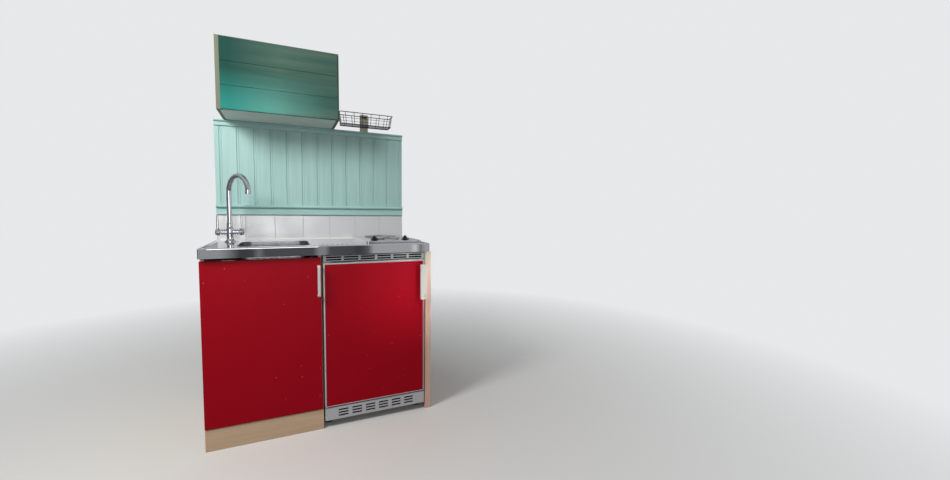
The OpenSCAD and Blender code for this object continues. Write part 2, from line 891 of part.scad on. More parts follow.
// Inner door: a raised rim inside the cold space, with two bottle shelves
module fridge_door_liner()
{
    left = cavity_x + liner_in;
    right = cavity_right - liner_in;
    low = cavity_z + liner_in;
    top = cavity_top - liner_in;
    deep = fridge_front + 12;
    in_place() color("white")
    {
        difference()
        {
            block([left, fridge_door_t, low], [right, deep, top]);
            block([left + 12, fridge_door_t + 3, low + 12], [right - 12, deep + 1, top - 12]);
        }
        for (level = tray_levels) let(z = low + level * (top - low)) difference()
        {
            block([left, fridge_door_t + 2, z], [right, deep + 56, z + 60]);
            block([left + 3, fridge_door_t + 3, z + 3], [right - 3, deep + 53, z + 61]);
        }
    }
}

module fridge_door_gasket()
{
    in_place() color("gray") along_y(fridge_door_t, fridge_door_t + 4) difference()
    {
        translate([fridge_x + 10, fridge_door_z + 10])
            square([fridge_w - 20, fridge_door_top - fridge_door_z - 20]);
        translate([fridge_x + 26, fridge_door_z + 26])
            square([fridge_w - 52, fridge_door_top - fridge_door_z - 52]);
    }
}

fridge_handle_x = fridge_right - fridge_handle_w / 2 + 3;
fridge_handle_z = fridge_door_top - 24 - fridge_handle_len;

module fridge_door_handle()
{
    in_place() color("white") translate([fridge_handle_x, -1, fridge_handle_z])
        bar_handle(fridge_handle_w, fridge_handle_len, fridge_reach, 14,
            fridge_handle_w - 20, 22);
}

// Board that carries the right end of the worktop, with the beech post beside it
module end_panel()
{
    in_place() color("burlywood")
    {
        block([panel_x, carcass_y - 16, 0], [panel_x + board_t, cupboard_back_y, lip_z - 1]);
        block([panel_x, carcass_y - 5, 0], [panel_x + board_t, cupboard_back_y, core_bottom]);
        block([panel_x + board_t - eps, carcass_y - 16, 0],
            [total_w, cupboard_back_y, lip_z - 1]);
    }
}

/* Splashback */

wall_cup_right = wall_cup_x + wall_cup_w;
wall_cup_top = cap_top + wall_cup_h;
rack_x = wall_cup_right + rack_gap;
rack_z = cap_top + rack_lift;
batten_tops = [[wall_cup_x + 30, wall_cup_top - 15],
    [wall_cup_right - 30 - batten_w, wall_cup_top - 15],
    [rack_x + rack_w / 2 - batten_w / 2, rack_z + rack_h + 12],
    [total_w - batten_w - 4, cap_z + 10]];

// Upright battens from the floor to what each one carries
module battens()
{
    in_place() color("wheat") for (b = batten_tops)
        block([b[0], batten_face, 0], [b[0] + batten_w, wall_y, b[1]]);
}

// One row of wall tiles on its backing board
module tile_splashback()
{
    count = ceil(total_w / tile_pitch);
    low = surface_z - 15;
    in_place() color("white")
    {
        block([0, tile_face + tile_t - eps, low - 30], [total_w, batten_face, dado_z]);
        for (i = [0 : count - 1])
        {
            right = total_w - i * tile_pitch;
            left = max(0, right - tile_pitch + tile_joint);
            if (right - left > 10)
                block([left, tile_face, low], [right, tile_face + tile_t, dado_z - 2]);
        }
    }
}

// Tongue and groove boards: V joints with a bead beside each one
module matchboards()
{
    count = floor(total_w / matchboard_pitch);
    in_place() color("cadetblue")
        translate([0, 0, dado_z]) linear_extrude(cap_top - dado_z) difference()
        {
            translate([0, board_face]) square([total_w, matchboard_t]);
            for (i = [0 : count])
            {
                joint = 24 + i * matchboard_pitch;
                translate([joint, board_face]) rotate(45) square(5, center = true);
                translate([joint + 11, board_face]) rotate(45) square(3, center = true);
            }
        }
}

// Moulding over the tiles: flat band, groove and a round nose on top
module dado_section()
{
    nose_r = 9;
    groove_z = dado_h - 26;
    translate([board_face - 10, 2]) square([10, groove_z - 2]);
    translate([board_face - 7, 2]) square([7, dado_h - 2]);
    translate([board_face - 13, 2]) square([13, 8]);
    translate([board_face - 12, dado_h - 2 * nose_r]) square([12, 2 * nose_r]);
    translate([board_face - 12, dado_h - nose_r]) circle(nose_r);
}

module dado_rail()
{
    in_place() color("cadetblue") along_x(0, total_w) translate([0, dado_z]) dado_section();
}

module cap_section()
{
    translate([board_face - 8, 0]) square([8, cap_h]);
    translate([board_face - 14, cap_h - 10]) square([14, 10]);
    translate([board_face - 14, cap_h - 5]) circle(5);
}

module cap_rail()
{
    in_place() color("cadetblue") along_x(0, total_w) translate([0, cap_z]) cap_section();
}

/* Wall cupboard */

wall_board = 15;
wall_cup_front = batten_face - wall_cup_d;
wall_door_t = 18;
wall_door_y = wall_cup_front - wall_door_t;
wall_door_x = [wall_cup_x + wall_cup_reveal, wall_cup_right - wall_cup_edge];
wall_door_z = [cap_top, wall_cup_top - wall_cup_edge];

// Two sides; the left one has a stile at its front that shows beside the door
module wall_cupboard_sides()
{
    in_place() color("white")
    {
        for (x = [wall_cup_x, wall_cup_right - wall_board])
            block([x, wall_cup_front, cap_top], [x + wall_board, batten_face - 4, wall_cup_top]);
        block([wall_cup_x, wall_cup_front, cap_top],
            [wall_cup_x + wall_cup_reveal + 8, wall_cup_front + 18, wall_cup_top]);
    }
}

module wall_cupboard_decks()
{
    in_place() color("white") for (z = [cap_top, wall_cup_top - wall_board]) difference()
    {
        block([wall_cup_x + wall_board, wall_cup_front, z],
            [wall_cup_right - wall_board, batten_face - 4, z + wall_board]);
        block([wall_cup_x, wall_cup_front - 1, z - 1],
            [wall_cup_x + wall_cup_reveal + 8, wall_cup_front + 18, z + wall_board + 1]);
    }
}

module wall_cupboard_back()
{
    in_place() color("white")
        block([wall_cup_x, batten_face - 4, cap_top], [wall_cup_right, batten_face, wall_cup_top]);
}

// Boards side by side with V joints, held by two ledges behind
module wall_cupboard_door()
{
    board_h = (wall_door_z[1] - wall_door_z[0]) / wall_cup_boards;
    in_place() color("teal") difference()
    {
        block([wall_door_x[0], wall_door_y, wall_door_z[0]],
            [wall_door_x[1], wall_door_y + wall_door_t, wall_door_z[1]]);
        for (i = [1 : wall_cup_boards - 1])
            translate([wall_door_x[0] - 1, wall_door_y, wall_door_z[0] + i * board_h])
                rotate([45, 0, 0]) translate([0, -2.5, -2.5])
                    cube([wall_door_x[1] - wall_door_x[0] + 2, 5, 5]);
    }
}

/* Bottle rack */

// A straight wire between two points that lie along one axis
module wire(from, to, r)
{
    along = to - from;
    turn = along[0] != 0 ? [0, 90, 0] : along[1] != 0 ? [-90, 0, 0] : [0, 0, 0];
    translate(from) rotate(turn) cylinder(r = r, h = norm(along), $fn = 16);
}

rack_front = batten_face - rack_d;
rack_back = batten_face - wire_r * 1.5;
rack_bend = 9;

// Closed wire loop with bent corners
module rack_ring(z, r)
{
    x = [rack_x, rack_x + rack_w];
    y = [rack_front, rack_back];
    b = rack_bend;
    for (q = y) wire([x[0] + b, q, z], [x[1] - b, q, z], r);
    for (p = x) wire([p, y[0] + b, z], [p, y[1] - b, z], r);
    for (c = [[x[0] + b, y[0] + b, 180], [x[1] - b, y[0] + b, 270],
        [x[1] - b, y[1] - b, 0], [x[0] + b, y[1] - b, 90]])
        translate([c[0], c[1], z]) rotate(c[2])
            rotate_extrude(angle = 90) translate([b, 0]) circle(r, $fn = 16);
}

module bottle_rack()
{
    uprights = 5;
    base_wires = 11;
    pitch = rack_w / (uprights + 1);
    base_pitch = rack_w / (base_wires + 1);
    side_pitch = (rack_back - rack_front) / 3;
    in_place() color("dimgray")
    {
        for (z = [rack_z, rack_z + rack_h]) rack_ring(z, wire_r * 1.5);
        rack_ring(rack_z + rack_h / 2, wire_r * 0.8);
        for (i = [1 : uprights])
        {
            x = rack_x + i * pitch;
            for (y = [rack_front, rack_back])
                wire([x, y, rack_z], [x, y, rack_z + rack_h], wire_r);
        }
        for (i = [1 : base_wires])
            wire([rack_x + i * base_pitch, rack_front, rack_z],
                [rack_x + i * base_pitch, rack_back, rack_z], wire_r * 0.8);
        // Lug that screws to the batten
        block([rack_x + rack_w / 2 - 14, rack_back - 1, rack_z + rack_h - 12],
            [rack_x + rack_w / 2 + 14, batten_face, rack_z + rack_h]);
        for (x = [rack_x, rack_x + rack_w], i = [1 : 2])
            wire([x, rack_front + i * side_pitch, rack_z],
                [x, rack_front + i * side_pitch, rack_z + rack_h], wire_r);
    }
}

worktop_sheet();
worktop_core();
sink_bowl();
sink_waste();
tap_body();
tap_spout();
tap_lever(-1);  // tap_lever_hot
tap_lever(1);  // tap_lever_cold
hob_plate();
hot_plates();
hob_knob(0);  // hob_knob_left
hob_knob(1);  // hob_knob_right
cupboard_sides();
cupboard_floor();
cupboard_back();
cupboard_rails();
cupboard_hinge_arms();
plinth_board();
cupboard_door();
cupboard_door_handle();
cupboard_hinge_cups();
fridge_cabinet();
fridge_top_grille();
fridge_plinth_grille();
fridge_feet();
fridge_hinges();
fridge_shelves();
fridge_ice_box();
fridge_cooling_unit();
fridge_door_frame();
fridge_door_panel();
fridge_door_liner();
fridge_door_gasket();
fridge_door_handle();
end_panel();
battens();
tile_splashback();
matchboards();
dado_rail();
cap_rail();
wall_cupboard_sides();
wall_cupboard_decks();
wall_cupboard_back();
wall_cupboard_door();
bottle_rack();
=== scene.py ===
"""Fitted kitchenette of a small hut, dressed as it stands in its photograph.

The sections follow the unit as it is put together: cupboard, fridge, end panel, worktop with its
sink, tap and hob, then the splashback, the wall cupboard and the wire rack. Lengths are metres."""

import math

import bmesh
import bpy
import numpy as np
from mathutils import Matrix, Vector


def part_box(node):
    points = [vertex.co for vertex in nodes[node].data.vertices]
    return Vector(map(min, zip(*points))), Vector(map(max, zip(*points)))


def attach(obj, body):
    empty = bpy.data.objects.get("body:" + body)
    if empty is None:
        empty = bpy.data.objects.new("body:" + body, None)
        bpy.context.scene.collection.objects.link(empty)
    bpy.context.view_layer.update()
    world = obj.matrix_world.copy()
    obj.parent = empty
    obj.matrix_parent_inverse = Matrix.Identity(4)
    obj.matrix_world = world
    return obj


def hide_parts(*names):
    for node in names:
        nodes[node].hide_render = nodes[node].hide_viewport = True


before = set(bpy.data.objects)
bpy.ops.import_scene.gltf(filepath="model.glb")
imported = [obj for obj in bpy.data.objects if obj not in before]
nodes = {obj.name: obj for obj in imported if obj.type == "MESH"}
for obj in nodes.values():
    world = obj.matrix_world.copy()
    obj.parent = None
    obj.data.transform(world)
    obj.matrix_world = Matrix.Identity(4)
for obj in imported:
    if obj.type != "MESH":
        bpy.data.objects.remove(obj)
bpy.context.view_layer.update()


# Cupboard carcass and plinth.
# Beech-faced board sides that stand on the floor, white inner boards, and a plain beech plinth
# pinned between the sides under the door.


def srgb(red, green, blue):
    """A colour read off a screen, 0 to 255, turned into the linear values that a shader takes."""
    c = np.array((red, green, blue)) / 255.0
    c = np.where(c <= 0.04045, c / 12.92, ((c + 0.055) / 1.055) ** 2.4)
    return (*c.tolist(), 1.0)


def add(tree, kind, *inputs, **settings):
    """Adds a shader node: lower-case settings are its properties, the rest its input sockets."""
    node = tree.nodes.new("ShaderNode" + kind)
    for key, value in settings.items():
        if key[0].islower():
            setattr(node, key, value)
    sockets = [(i, value) for i, value in enumerate(inputs) if value is not None]
    sockets += [(k.replace("_", " "), v) for k, v in settings.items() if k[0].isupper()]
    for key, value in sockets:
        if isinstance(value, bpy.types.NodeSocket):
            tree.links.new(value, node.inputs[key])
        else:
            node.inputs[key].default_value = value
    return node


def effect(name, inputs, outputs):
    """An empty shader group with named inputs and outputs, each given as {name: kind}."""
    group = bpy.data.node_groups.new(name, "ShaderNodeTree")
    for side, sockets in (("INPUT", inputs), ("OUTPUT", outputs)):
        for title, kind in sockets.items():
            group.interface.new_socket(title, in_out=side, socket_type="NodeSocket" + kind)
    takes, gives = group.nodes.new("NodeGroupInput"), group.nodes.new("NodeGroupOutput")
    return group, takes.outputs, gives.inputs


def spread(tree, value, low, high, out_low=0.0, out_high=1.0):
    """The value's span from low to high, drawn out to another span and cut off at its ends."""
    return add(tree, "MapRange", value, low, high, out_low, out_high).outputs[0]


def finish(name, metallic=0.0, roughness=0.5, **fixed):
    """A material with its plain values set: returns it, its tree, its shader and coordinates."""
    mat = bpy.data.materials.new(name)
    mat.use_nodes = True
    shader = mat.node_tree.nodes["Principled BSDF"]
    shader.inputs["Metallic"].default_value = metallic
    shader.inputs["Roughness"].default_value = roughness
    for key, value in fixed.items():
        shader.inputs[key.replace("_", " ")].default_value = value
    coords = add(mat.node_tree, "TexCoord").outputs["Object"]
    return mat, mat.node_tree, shader, coords


def dent(tree, shader, height, distance, strength=0.5):
    """Lets a height pattern stand up from the surface by about the distance given."""
    bump = add(tree, "Bump", Height=height, Distance=distance, Strength=strength)
    tree.links.new(bump.outputs[0], shader.inputs["Normal"])


grain_group, grain_in, grain_out = effect(
    "wood grain",
    {"Vector": "Vector", "Light": "Color", "Dark": "Color"},
    {"Colour": "Color", "Height": "Float"},
)
figure = add(
    grain_group, "TexNoise", grain_in["Vector"],
    Scale=1.6, Detail=5.0, Roughness=0.55, Distortion=0.9
)
fibre = add(grain_group, "TexNoise", grain_in["Vector"], Scale=21.0, Detail=4.0, Roughness=0.7)
flecks = spread(grain_group, fibre.outputs[0], 0.35, 0.75)
bands = spread(grain_group, figure.outputs[0], 0.3, 0.7)
both = add(grain_group, "Math", bands, 0.6, operation="MULTIPLY").outputs[0]
both = add(grain_group, "Math", flecks, 0.4, both, operation="MULTIPLY_ADD").outputs[0]
mixed = add(grain_group, "MixRGB", both, grain_in["Light"], grain_in["Dark"]).outputs[0]
grain_group.links.new(mixed, grain_out["Colour"])
grain_group.links.new(flecks, grain_out["Height"])


def timber(name, light, dark, along, roughness=0.5, coat=0.0):
    """Bare or lacquered wood, its grain drawn out along one axis."""
    mat, tree, shader, coords = finish(
        name, roughness=roughness, Coat_Weight=coat, Coat_Roughness=0.25
    )
    stretch = [16.0, 16.0, 16.0]
    stretch["xyz".index(along)] = 1.1
    mapped = add(tree, "Mapping", coords, Scale=stretch).outputs[0]
    grain = add(tree, "Group", node_tree=grain_group, Vector=mapped, Light=light, Dark=dark)
    tree.links.new(grain.outputs["Colour"], shader.inputs["Base Color"])
    dent(tree, shader, grain.outputs["Height"], 0.0003)
    return mat


film_group, film_in, film_out = effect(
    "paint film",
    {"Vector": "Vector", "Colour": "Color", "Shade": "Color"},
    {"Colour": "Color", "Height": "Float"},
)
cloud = add(film_group, "TexNoise", film_in["Vector"], Scale=0.9, Detail=3.0, Roughness=0.6)
strokes = add(film_group, "TexNoise", film_in["Vector"], Scale=9.0, Detail=5.0, Roughness=0.6)
tone = spread(film_group, cloud.outputs[0], 0.35, 0.7)
mixed = add(film_group, "MixRGB", tone, film_in["Colour"], film_in["Shade"]).outputs[0]
film_group.links.new(mixed, film_out["Colour"])
film_group.links.new(strokes.outputs[0], film_out["Height"])


def paint(name, colour, shade, along, roughness=0.42, marks=0.00025, gloss=0.35):
    """Brushed satin paint on board: slow changes of tone, and strokes along one axis."""
    mat, tree, shader, coords = finish(name, roughness=roughness, Specular_IOR_Level=gloss)
    stretch = [30.0, 30.0, 30.0]
    stretch["xyz".index(along)] = 2.0
    mapped = add(tree, "Mapping", coords, Scale=stretch).outputs[0]
    film = add(tree, "Group", node_tree=film_group, Vector=mapped, Colour=colour, Shade=shade)
    tree.links.new(film.outputs["Colour"], shader.inputs["Base Color"])
    streaks = spread(tree, film.outputs["Height"], 0.3, 0.7, roughness - 0.05, roughness + 0.08)
    tree.links.new(streaks, shader.inputs["Roughness"])
    dent(tree, shader, film.outputs["Height"], marks)
    return mat


def skin(name, parts, mat, body="kitchenette", replaces=(), crease=35.0, rings=()):
    """A piece from stacks of closed loops, each an array of (loop, point, 3). Neighbouring loops
    are joined by quads. The first and last loop of a stack are closed by a flat face, and those
    of a ring are joined to each other."""
    points, faces, start = [], [], 0
    for number, part in enumerate([*parts, *rings]):
        rows, around = part.shape[:2]
        index = start + np.arange(rows * around).reshape(rows, around)
        index = np.vstack((index, index[:1])) if number >= len(parts) else index
        following = np.roll(index, -1, axis=1)
        quads = np.stack((index[:-1], following[:-1], following[1:], index[1:]), -1).reshape(-1, 4)
        faces += quads.tolist()
        if number < len(parts):
            faces += [index[0].tolist(), index[-1].tolist()]
        points.append(part.reshape(-1, 3))
        start += rows * around
    mesh = bpy.data.meshes.new(name)
    mesh.from_pydata(np.concatenate(points).tolist(), [], faces)
    shape = bmesh.new()
    shape.from_mesh(mesh)
    bmesh.ops.recalc_face_normals(shape, faces=shape.faces)
    shape.to_mesh(mesh)
    shape.free()
    mesh.shade_smooth()
    mesh.set_sharp_from_angle(angle=math.radians(crease))
    piece = bpy.data.objects.new(name, mesh)
    bpy.context.collection.objects.link(piece)
    piece.data.materials.append(mat)
    flats = piece.modifiers.new("flat faces stay flat", "WEIGHTED_NORMAL")
    flats.keep_sharp, flats.weight = True, 90
    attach(piece, body)
    if replaces:
        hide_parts(*replaces)


def round_loop(width, height, radius, steps=6):
    """A rectangle with round corners about its middle: quarter circles at its four corners."""
    angles = np.linspace(0, np.pi / 2, steps)
    arc = np.stack((np.cos(angles), np.sin(angles)), 1) * radius
    x, y = width / 2 - radius, height / 2 - radius
    arcs, corners = [arc], [(x, y), (-x, y), (-x, -y), (x, -y)]
    for _ in range(3):
        arcs.append(np.stack((-arcs[-1][:, 1], arcs[-1][:, 0]), 1))
    return np.concatenate([p + c for p, c in zip(arcs, corners)])


def board(low, high, axis, edge, corner=None, foot=None):
    """A board from its lowest to its highest corner, its edges on both faces rounded by a
    quarter circle: each loop is the outline pulled in by edge * (1 - sin t), which stands at
    edge * (1 - cos t) from the face, for angles t from 0 to 90 degrees. A foot gives the low
    face another radius."""
    low, high = np.array(low, float), np.array(high, float)
    u, v = [i for i in range(3) if i != axis]
    size, mid = high - low, (high + low) / 2
    corner = edge if corner is None else corner
    foot = edge if foot is None else foot
    angles = np.linspace(0, np.pi / 2, 4)
    levels = [(foot * (1 - np.sin(t)), low[axis] + foot * (1 - np.cos(t))) for t in angles]
    levels += [(edge * (1 - np.sin(t)), high[axis] - edge * (1 - np.cos(t))) for t in angles[::-1]]
    out = []
    for inset, h in levels:
        flat = round_loop(size[u] - 2 * inset, size[v] - 2 * inset, max(corner - inset, 1e-5))
        loop = np.empty((len(flat), 3))
        loop[:, u], loop[:, v], loop[:, axis] = flat[:, 0] + mid[u], flat[:, 1] + mid[v], h
        out.append(loop)
    return np.array(out)


beech = timber("beech veneer", srgb(214, 184, 156), srgb(192, 162, 130), "x", 0.42, 0.2)
beech_upright = timber("beech edge", srgb(212, 188, 156), srgb(186, 156, 120), "z", 0.42, 0.2)
white_board = paint("white board", srgb(214, 212, 205), srgb(200, 197, 189), "x", 0.4, 0.0001)

for node in ("cupboard_floor", "cupboard_back", "cupboard_rails"):
    nodes[node].data.materials[0] = white_board
nodes["cupboard_sides"].data.materials[0] = beech_upright
low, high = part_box("plinth_board")
skin("plinth", [board(low, high, 1, 0.001)], beech, replaces=["plinth_board"])


# Cupboard door.
# Chipboard with a deep red satin laminate on its face and edges, chipped here and there, a cream
# bar handle screwed on from behind, and two nickel plated concealed hinges.

specks_group, specks_in, specks_out = effect(
    "specks", {"Vector": "Vector", "Size": "Float"}, {"Specks": "Float", "Smudge": "Float"}
)
cells = add(specks_group, "TexVoronoi", specks_in["Vector"], Scale=26.0, Randomness=1.0)
rare = spread(specks_group, cells.outputs["Color"], 0.5, 0.54)
near = add(
    specks_group, "Math", cells.outputs["Distance"], specks_in["Size"], operation="LESS_THAN"
).outputs[0]
dots = add(specks_group, "Math", rare, near, operation="MULTIPLY").outputs[0]
wipes = add(specks_group, "TexNoise", specks_in["Vector"], Scale=3.0, Detail=4.0, Roughness=0.6)
specks_group.links.new(dots, specks_out["Specks"])
specks_group.links.new(wipes.outputs[0], specks_out["Smudge"])


def moulded(name, colour, roughness, marks=0.12, chips=None, size=0.05, **fixed):
    """Plastic, laminate, rubber or enamel: one colour, wiped unevenly, with a few chips in it."""
    mat, tree, shader, coords = finish(name, roughness=roughness, **fixed)
    wear = add(tree, "Group", node_tree=specks_group, Vector=coords, Size=size)
    shader.inputs["Base Color"].default_value = colour
    if chips:
        mixed = add(tree, "MixRGB", wear.outputs["Specks"], colour, chips).outputs[0]
        tree.links.new(mixed, shader.inputs["Base Color"])
    rough = spread(tree, wear.outputs["Smudge"], 0.3, 0.7, roughness - marks / 2, roughness + marks)
    tree.links.new(rough, shader.inputs["Roughness"])
    return mat


def brushed(name, colour, roughness, along, depth=0.00004, spread_by=0.1):
    """Metal rubbed along one axis: fine long lines in its gloss, and a slow change of shine."""
    mat, tree, shader, coords = finish(name, metallic=1.0, roughness=roughness)
    shader.inputs["Base Color"].default_value = colour
    stretch = [900.0, 900.0, 900.0]
    stretch["xyz".index(along)] = 8.0
    mapped = add(tree, "Mapping", coords, Scale=stretch).outputs[0]
    lines = add(tree, "TexNoise", mapped, Scale=1.0, Detail=2.0).outputs[0]
    wear = add(tree, "Group", node_tree=specks_group, Vector=coords, Size=0.0)
    both = add(tree, "Math", lines, wear.outputs["Smudge"], operation="MULTIPLY").outputs[0]
    shine = spread(tree, both, 0.15, 0.4, roughness - spread_by / 2, roughness + spread_by)
    tree.links.new(shine, shader.inputs["Roughness"])
    dent(tree, shader, lines, depth)
    return mat


def sweep(path, side, section, closed=False):
    """A section carried along a flat path: side is the path plane's normal, and each section
    point (a, b) goes to path + a * side + b * (side x tangent)."""
    path, side = np.array(path, float), np.array(side, float)
    tangent = np.roll(path, -1, 0) - np.roll(path, 1, 0) if closed else np.gradient(path, axis=0)
    tangent /= np.linalg.norm(tangent, axis=1, keepdims=True)
    normal = np.cross(side, tangent)
    section = np.array(section, float)
    return path[:, None] + section[None, :, :1] * side + section[None, :, 1:] * normal[:, None]


def circle(radius, steps=20):
    """Points of a circle about its middle."""
    angles = np.linspace(0, 2 * np.pi, steps, endpoint=False)
    return np.stack((np.cos(angles), np.sin(angles)), 1) * radius


def turned(profile, centre, axis="z", steps=48):
    """A profile of (radius, distance) pairs turned about an axis through the centre."""
    profile, centre = np.array(profile, float), np.array(centre, float)
    ring = circle(1.0, steps)
    out = np.empty((len(profile), steps, 3))
    w = "xyz".index(axis)
    u, v = [i for i in range(3) if i != w]
    out[:, :, u] = centre[u] + profile[:, :1] * ring[None, :, 0]
    out[:, :, v] = centre[v] + profile[:, :1] * ring[None, :, 1]
    out[:, :, w] = centre[w] + profile[:, 1:]
    return out


def bridge(x, y_face, z_low, z_high, reach, section, thick, bend, bulge=0.0):
    """A D handle: a flat section swept out of the door, round a quarter bend, down and back."""
    angles = np.linspace(0, np.pi / 2, 8)
    out, r = y_face - reach + thick / 2, bend
    top = [(out + r * (1 - np.sin(t)), z_high - thick / 2 - r * (1 - np.cos(t))) for t in angles]
    low = [(y, z_low + z_high - z) for y, z in top[::-1]]
    s = np.linspace(0, 1, 14)[1:-1]
    mid = [(out - bulge * np.sin(np.pi * t), top[-1][1] + t * (low[0][1] - top[-1][1])) for t in s]
    line = [(y_face, z_high - thick / 2)] + top + mid + low + [(y_face, z_low + thick / 2)]
    path = [(x, y, z) for y, z in line]
    return sweep(path, (1, 0, 0), section)


red_laminate = moulded(
    "red laminate", srgb(158, 2, 24), 0.4, 0.1, srgb(194, 92, 98), 0.055, Specular_IOR_Level=0.12
)
cream_plastic = moulded("cream plastic", srgb(208, 206, 200), 0.3)
nickel = brushed("nickel plate", srgb(196, 194, 188), 0.28, "z")

low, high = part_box("cupboard_door")
skin(
    "cupboard_front", [board(low, high, 1, 0.0012)], red_laminate, "cupboard_leaf",
    ["cupboard_door"]
)
low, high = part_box("cupboard_door_handle")
flat = round_loop(high.x - low.x, 0.008, 0.0022)
grip = bridge((low.x + high.x) / 2, high.y, low.z, high.z, high.y - low.y, flat, 0.008, 0.0065)
skin(
    "cupboard_handle", [grip], cream_plastic, "cupboard_leaf",
    ["cupboard_door_handle"]
)
for node in ("cupboard_hinge_cups", "cupboard_hinge_arms"):
    nodes[node].data.materials[0] = nickel


# Fridge.
# White enamelled cabinet with grey moulded grilles and door trim, a red laminate panel slid into
# the trim, a chunky cream handle, and inside it a white liner, glass shelves and an ice box.

enamel = moulded("white enamel", srgb(226, 228, 228), 0.3)
grey_plastic = moulded("grey plastic", srgb(186, 187, 190), 0.42, 0.1, srgb(150, 150, 152), 0.03)
white_plastic = moulded("white plastic", srgb(232, 232, 230), 0.28)
rubber = moulded("dark rubber", srgb(48, 48, 50), 0.6)
seal = moulded("grey seal", srgb(168, 170, 172), 0.55)
black_enamel = moulded("black enamel", srgb(38, 38, 40), 0.38)
alloy = brushed("ice box alloy", srgb(214, 216, 218), 0.34, "x")
glass, tree, shader, coords = finish(
    "shelf glass", roughness=0.03, IOR=1.46, Transmission_Weight=1.0
)
shader.inputs["Base Color"].default_value = srgb(244, 251, 248)
wear = add(tree, "Group", node_tree=specks_group, Vector=coords, Size=0.0)
rough = spread(tree, wear.outputs["Smudge"], 0.3, 0.7, 0.02, 0.08)
tree.links.new(rough, shader.inputs["Roughness"])

for node, mat in {
    "fridge_cabinet": enamel,
    "fridge_top_grille": grey_plastic,
    "fridge_plinth_grille": grey_plastic,
    "fridge_feet": rubber,
    "fridge_hinges": nickel,
    "fridge_shelves": glass,
    "fridge_ice_box": alloy,
    "fridge_cooling_unit": black_enamel,
    "fridge_door_liner": white_plastic,
    "fridge_door_gasket": seal,
}.items():
    nodes[node].data.materials[0] = mat

# Painted shade: black sheets behind the grille slots and behind the top grille stand in for the
# shadow inside the vents.
vent_shade = moulded("vent shade", srgb(10, 10, 11), 0.9, 0.05, Specular_IOR_Level=0.1)
shade_front, shade_back, shade_side, shade_edge = 0.0045, 0.006, 0.004, 0.0003
low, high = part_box("fridge_plinth_grille")
front, back = low.y + shade_front, low.y + shade_back
left, right = low.x + shade_side, high.x - shade_side
shade_sheets = [board((left, front, low.z + 0.004), (right, back, high.z - 0.003), 1, shade_edge)]
low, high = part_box("fridge_top_grille")
front, back = low.y + shade_front, low.y + shade_back
left, right = low.x + shade_side, high.x - shade_side
shade_sheets += [board((left, front, low.z + 0.001), (right, back, high.z - 0.001), 1, shade_edge)]
left, front, back = low.x + 0.036, high.y - 0.0028, high.y - 0.0008
shade_sheets += [board((left, front, low.z - 0.012), (right, back, low.z + 0.012), 1, shade_edge)]
skin("vent_shade", shade_sheets, vent_shade)

low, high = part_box("fridge_door_frame")
panel_low, panel_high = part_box("fridge_door_panel")
trim, roll_r = panel_low.x - low.x, 0.006
mid = ((low.x + high.x) / 2, (low.z + high.z) / 2)
angles = np.linspace(0, math.pi / 2, 7)
rolls = [(0.0, high.y), (0.0, low.y + roll_r)]
rolls += [(roll_r * (1 - math.cos(t)), low.y + roll_r * (1 - math.sin(t))) for t in angles]
rolls = [(i * (trim - 0.0012) / roll_r if i else 0.0, y) for i, y in rolls]
rolls += [(trim - 0.0004, low.y + 0.0006), (trim, panel_low.y + 0.001), (trim, panel_high.y)]
loops = []
for inset, y in rolls:
    flat = round_loop(
        high.x - low.x - 2 * inset, high.z - low.z - 2 * inset, max(0.003 - inset / 3, 0.0006)
    )
    loops.append(np.stack((flat[:, 0] + mid[0], np.full(len(flat), y), flat[:, 1] + mid[1]), 1))
skin(
    "fridge_door_trim", [np.array(loops)], grey_plastic, "fridge_leaf",
    ["fridge_door_frame"]
)
skin(
    "fridge_front", [board(panel_low, panel_high, 1, 0.0006)], red_laminate, "fridge_leaf",
    ["fridge_door_panel"]
)
frame_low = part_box("fridge_door_frame")[0]
screw_x, screw_heights = frame_low.x + 0.0034, (0.149, 0.294, 0.632, 0.714)
head = [(0.0023, 0.0006), (0.0022, 0.0), (0.0018, -0.0007), (0.0009, -0.001), (0.0001, -0.001)]
head = [(r, frame_low.y + d) for r, d in head]
screws = [turned(head, (screw_x, 0, z), "y", 14) for z in screw_heights]
skin("trim_screws", screws, nickel, "fridge_leaf")
low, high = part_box("fridge_door_handle")
mid_x, half, bevel = (low.x + high.x) / 2, (high.x - low.x) / 2, 0.0012
stepped = [(-half, bevel), (-half + bevel, 0.0), (0.001, 0.0), (0.0026, 0.001), (0.003, 0.004)]
stepped += [(0.0045, 0.0052), (half - 0.002, 0.0052), (half, 0.0072), (half, 0.012)]
stepped += [(half - 0.002, 0.014), (-half + bevel, 0.014), (-half, 0.0128)]
plate = []
for z, inset in ((low.z, bevel), (low.z + bevel, 0.0), (high.z - bevel, 0.0), (high.z, bevel)):
    outline = np.array(stepped) * (1 - inset / half, 1.0)
    plate.append(np.c_[mid_x + outline[:, 0], low.y + outline[:, 1], np.full(len(outline), z)])
catch_low = (high.x - 0.0135, low.y + 0.001, low.z + 0.006)
catch = board(catch_low, (high.x - 0.001, low.y + 0.010, low.z + 0.030), 1, 0.0025)
post_half, post_depth, post_tall = 0.0065, 0.006, 0.021
posts = []
for z in (low.z + 0.0025, high.z - 0.0235):
    post_high = (mid_x + post_half, high.y, z + post_tall)
    posts.append(board((mid_x - post_half, low.y + post_depth, z), post_high, 1, 0.001, 0.003))
skin(
    "fridge_handle", [np.array(plate), catch, *posts], cream_plastic, "fridge_leaf",
    ["fridge_door_handle"]
)
low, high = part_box("fridge_shelves")
glass_thick, edges = 0.005, []
for z in (low.z, high.z - glass_thick):
    edge_high = (high.x - 0.001, low.y + 0.008, z + 0.008)
    edges.append(board((low.x + 0.001, low.y - 0.004, z - 0.002), edge_high, 1, 0.002))
skin("shelf_edges", edges, white_plastic)
